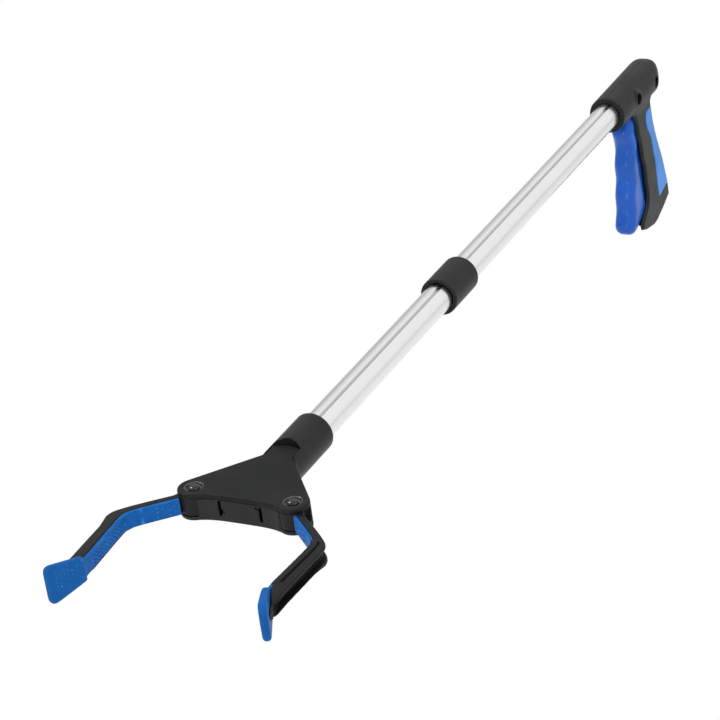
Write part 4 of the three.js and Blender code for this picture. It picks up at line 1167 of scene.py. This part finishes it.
# ------------------------------------------------------------------------- stage
def unless_camera(tree, lit, seen):
    """One shader for the light's sake and another for the camera's own rays."""
    camera_ray = add_node(tree, "LightPath").outputs["Is Camera Ray"]
    return add_node(tree, "MixShader", {0: camera_ray, 1: lit, 2: seen}).outputs[0]


WHITE = (1, 1, 1, 1)
FLOOR_HALF, FLOOR_Z = 9, -0.36  # metres
floor_mesh = bpy.data.meshes.new("floor")
bm = bmesh.new()
bm.faces.new([bm.verts.new((x * FLOOR_HALF, y * FLOOR_HALF, FLOOR_Z))
              for x, y in ((-1, -1), (1, -1), (1, 1), (-1, 1))])
bm.to_mesh(floor_mesh)
bm.free()
floor = bpy.data.objects.new("floor", floor_mesh)
bpy.context.scene.collection.objects.link(floor)
floor_look = bpy.data.materials.new("floor_white")
floor_look.use_nodes = True
floor_tree = floor_look.node_tree
floor_tree.nodes.clear()
matt = add_node(floor_tree, "BsdfDiffuse", {"Color": (0.78, 0.78, 0.78, 1)})
glow = add_node(floor_tree, "Emission", {"Color": WHITE, "Strength": 1.0})
add_node(floor_tree, "OutputMaterial",
         {0: unless_camera(floor_tree, matt.outputs[0], glow.outputs[0])})
floor_mesh.materials.append(floor_look)

# soft glow from above and the left that falls off away from it; the camera sees plain white
world = bpy.data.worlds.new("studio")
bpy.context.scene.world = world
world.use_nodes = True
sky = world.node_tree
facing = add_node(sky, "VectorMath", {0: add_node(sky, "TexCoord").outputs["Generated"],
                                      1: (-0.10, 0.66, 0.74)}, operation="DOT_PRODUCT")
fade = add_node(sky, "MapRange", {"From Min": -0.45, "From Max": 0.42, "To Min": 0.40,
                                  "To Max": 1.02, "Value": facing.outputs["Value"]},
                interpolation_type="SMOOTHSTEP")
background = sky.nodes["Background"]
background.inputs["Color"].default_value = WHITE
sky.links.new(fade.outputs[0], background.inputs["Strength"])
plain = add_node(sky, "Background", {"Color": WHITE, "Strength": 1.0})
sky.links.new(unless_camera(sky, background.outputs[0], plain.outputs[0]),
              sky.nodes["World Output"].inputs["Surface"])


def area(name, place, target, size, energy):
    """Round area light aimed at a target; metres and watts."""
    light = bpy.data.lights.new(name, "AREA")
    light.energy = energy
    light.shape = "DISK"
    light.size = size
    lamp = bpy.data.objects.new(name, light)
    bpy.context.scene.collection.objects.link(lamp)
    lamp.location = place
    lamp.rotation_mode = "QUATERNION"
    lamp.rotation_quaternion = (Vector(target) - Vector(place)).to_track_quat("-Z", "Y")
    lamp.visible_camera = False


area("key_soft", place=(0.1, 1.3, 2.0), target=(-0.25, 0, 0), size=2.0, energy=18)
area("fill_soft", place=(0.9, -2.0, 1.2), target=(-0.1, 0, 0), size=1.3, energy=10)
area("front_low", place=(1.6, -0.15, 0.12), target=(-0.3, 0, -0.02), size=0.55, energy=8)
area("spark", place=(-0.80, -1.14, 1.48), target=(0, 0, 0), size=0.30, energy=6.5)

# ------------------------------------------------------------------------ camera
CAMERA_PLACE = (1104.85683173, 659.4063971, 702.00161333)
# the camera's own axes: right, up and backwards
CAMERA_AXES = ((-0.43192996, 0.89394045, -0.11961183),
               (-0.45877436, -0.10358819, 0.88249395),
               (0.77650667, 0.43605041, 0.45485979))
camera = bpy.data.cameras.new("camera")
camera_object = bpy.data.objects.new("camera", camera)
bpy.context.scene.collection.objects.link(camera_object)
camera_object.matrix_world = (Matrix.Translation(row(*CAMERA_PLACE))
                              @ Matrix(CAMERA_AXES).transposed().to_4x4())
camera.sensor_width = 36.0
camera.lens = 118.47910143
camera.clip_start, camera.clip_end = 0.05, 50.0
bpy.context.scene.camera = camera_object
bpy.context.scene.view_settings.view_transform = "Standard"
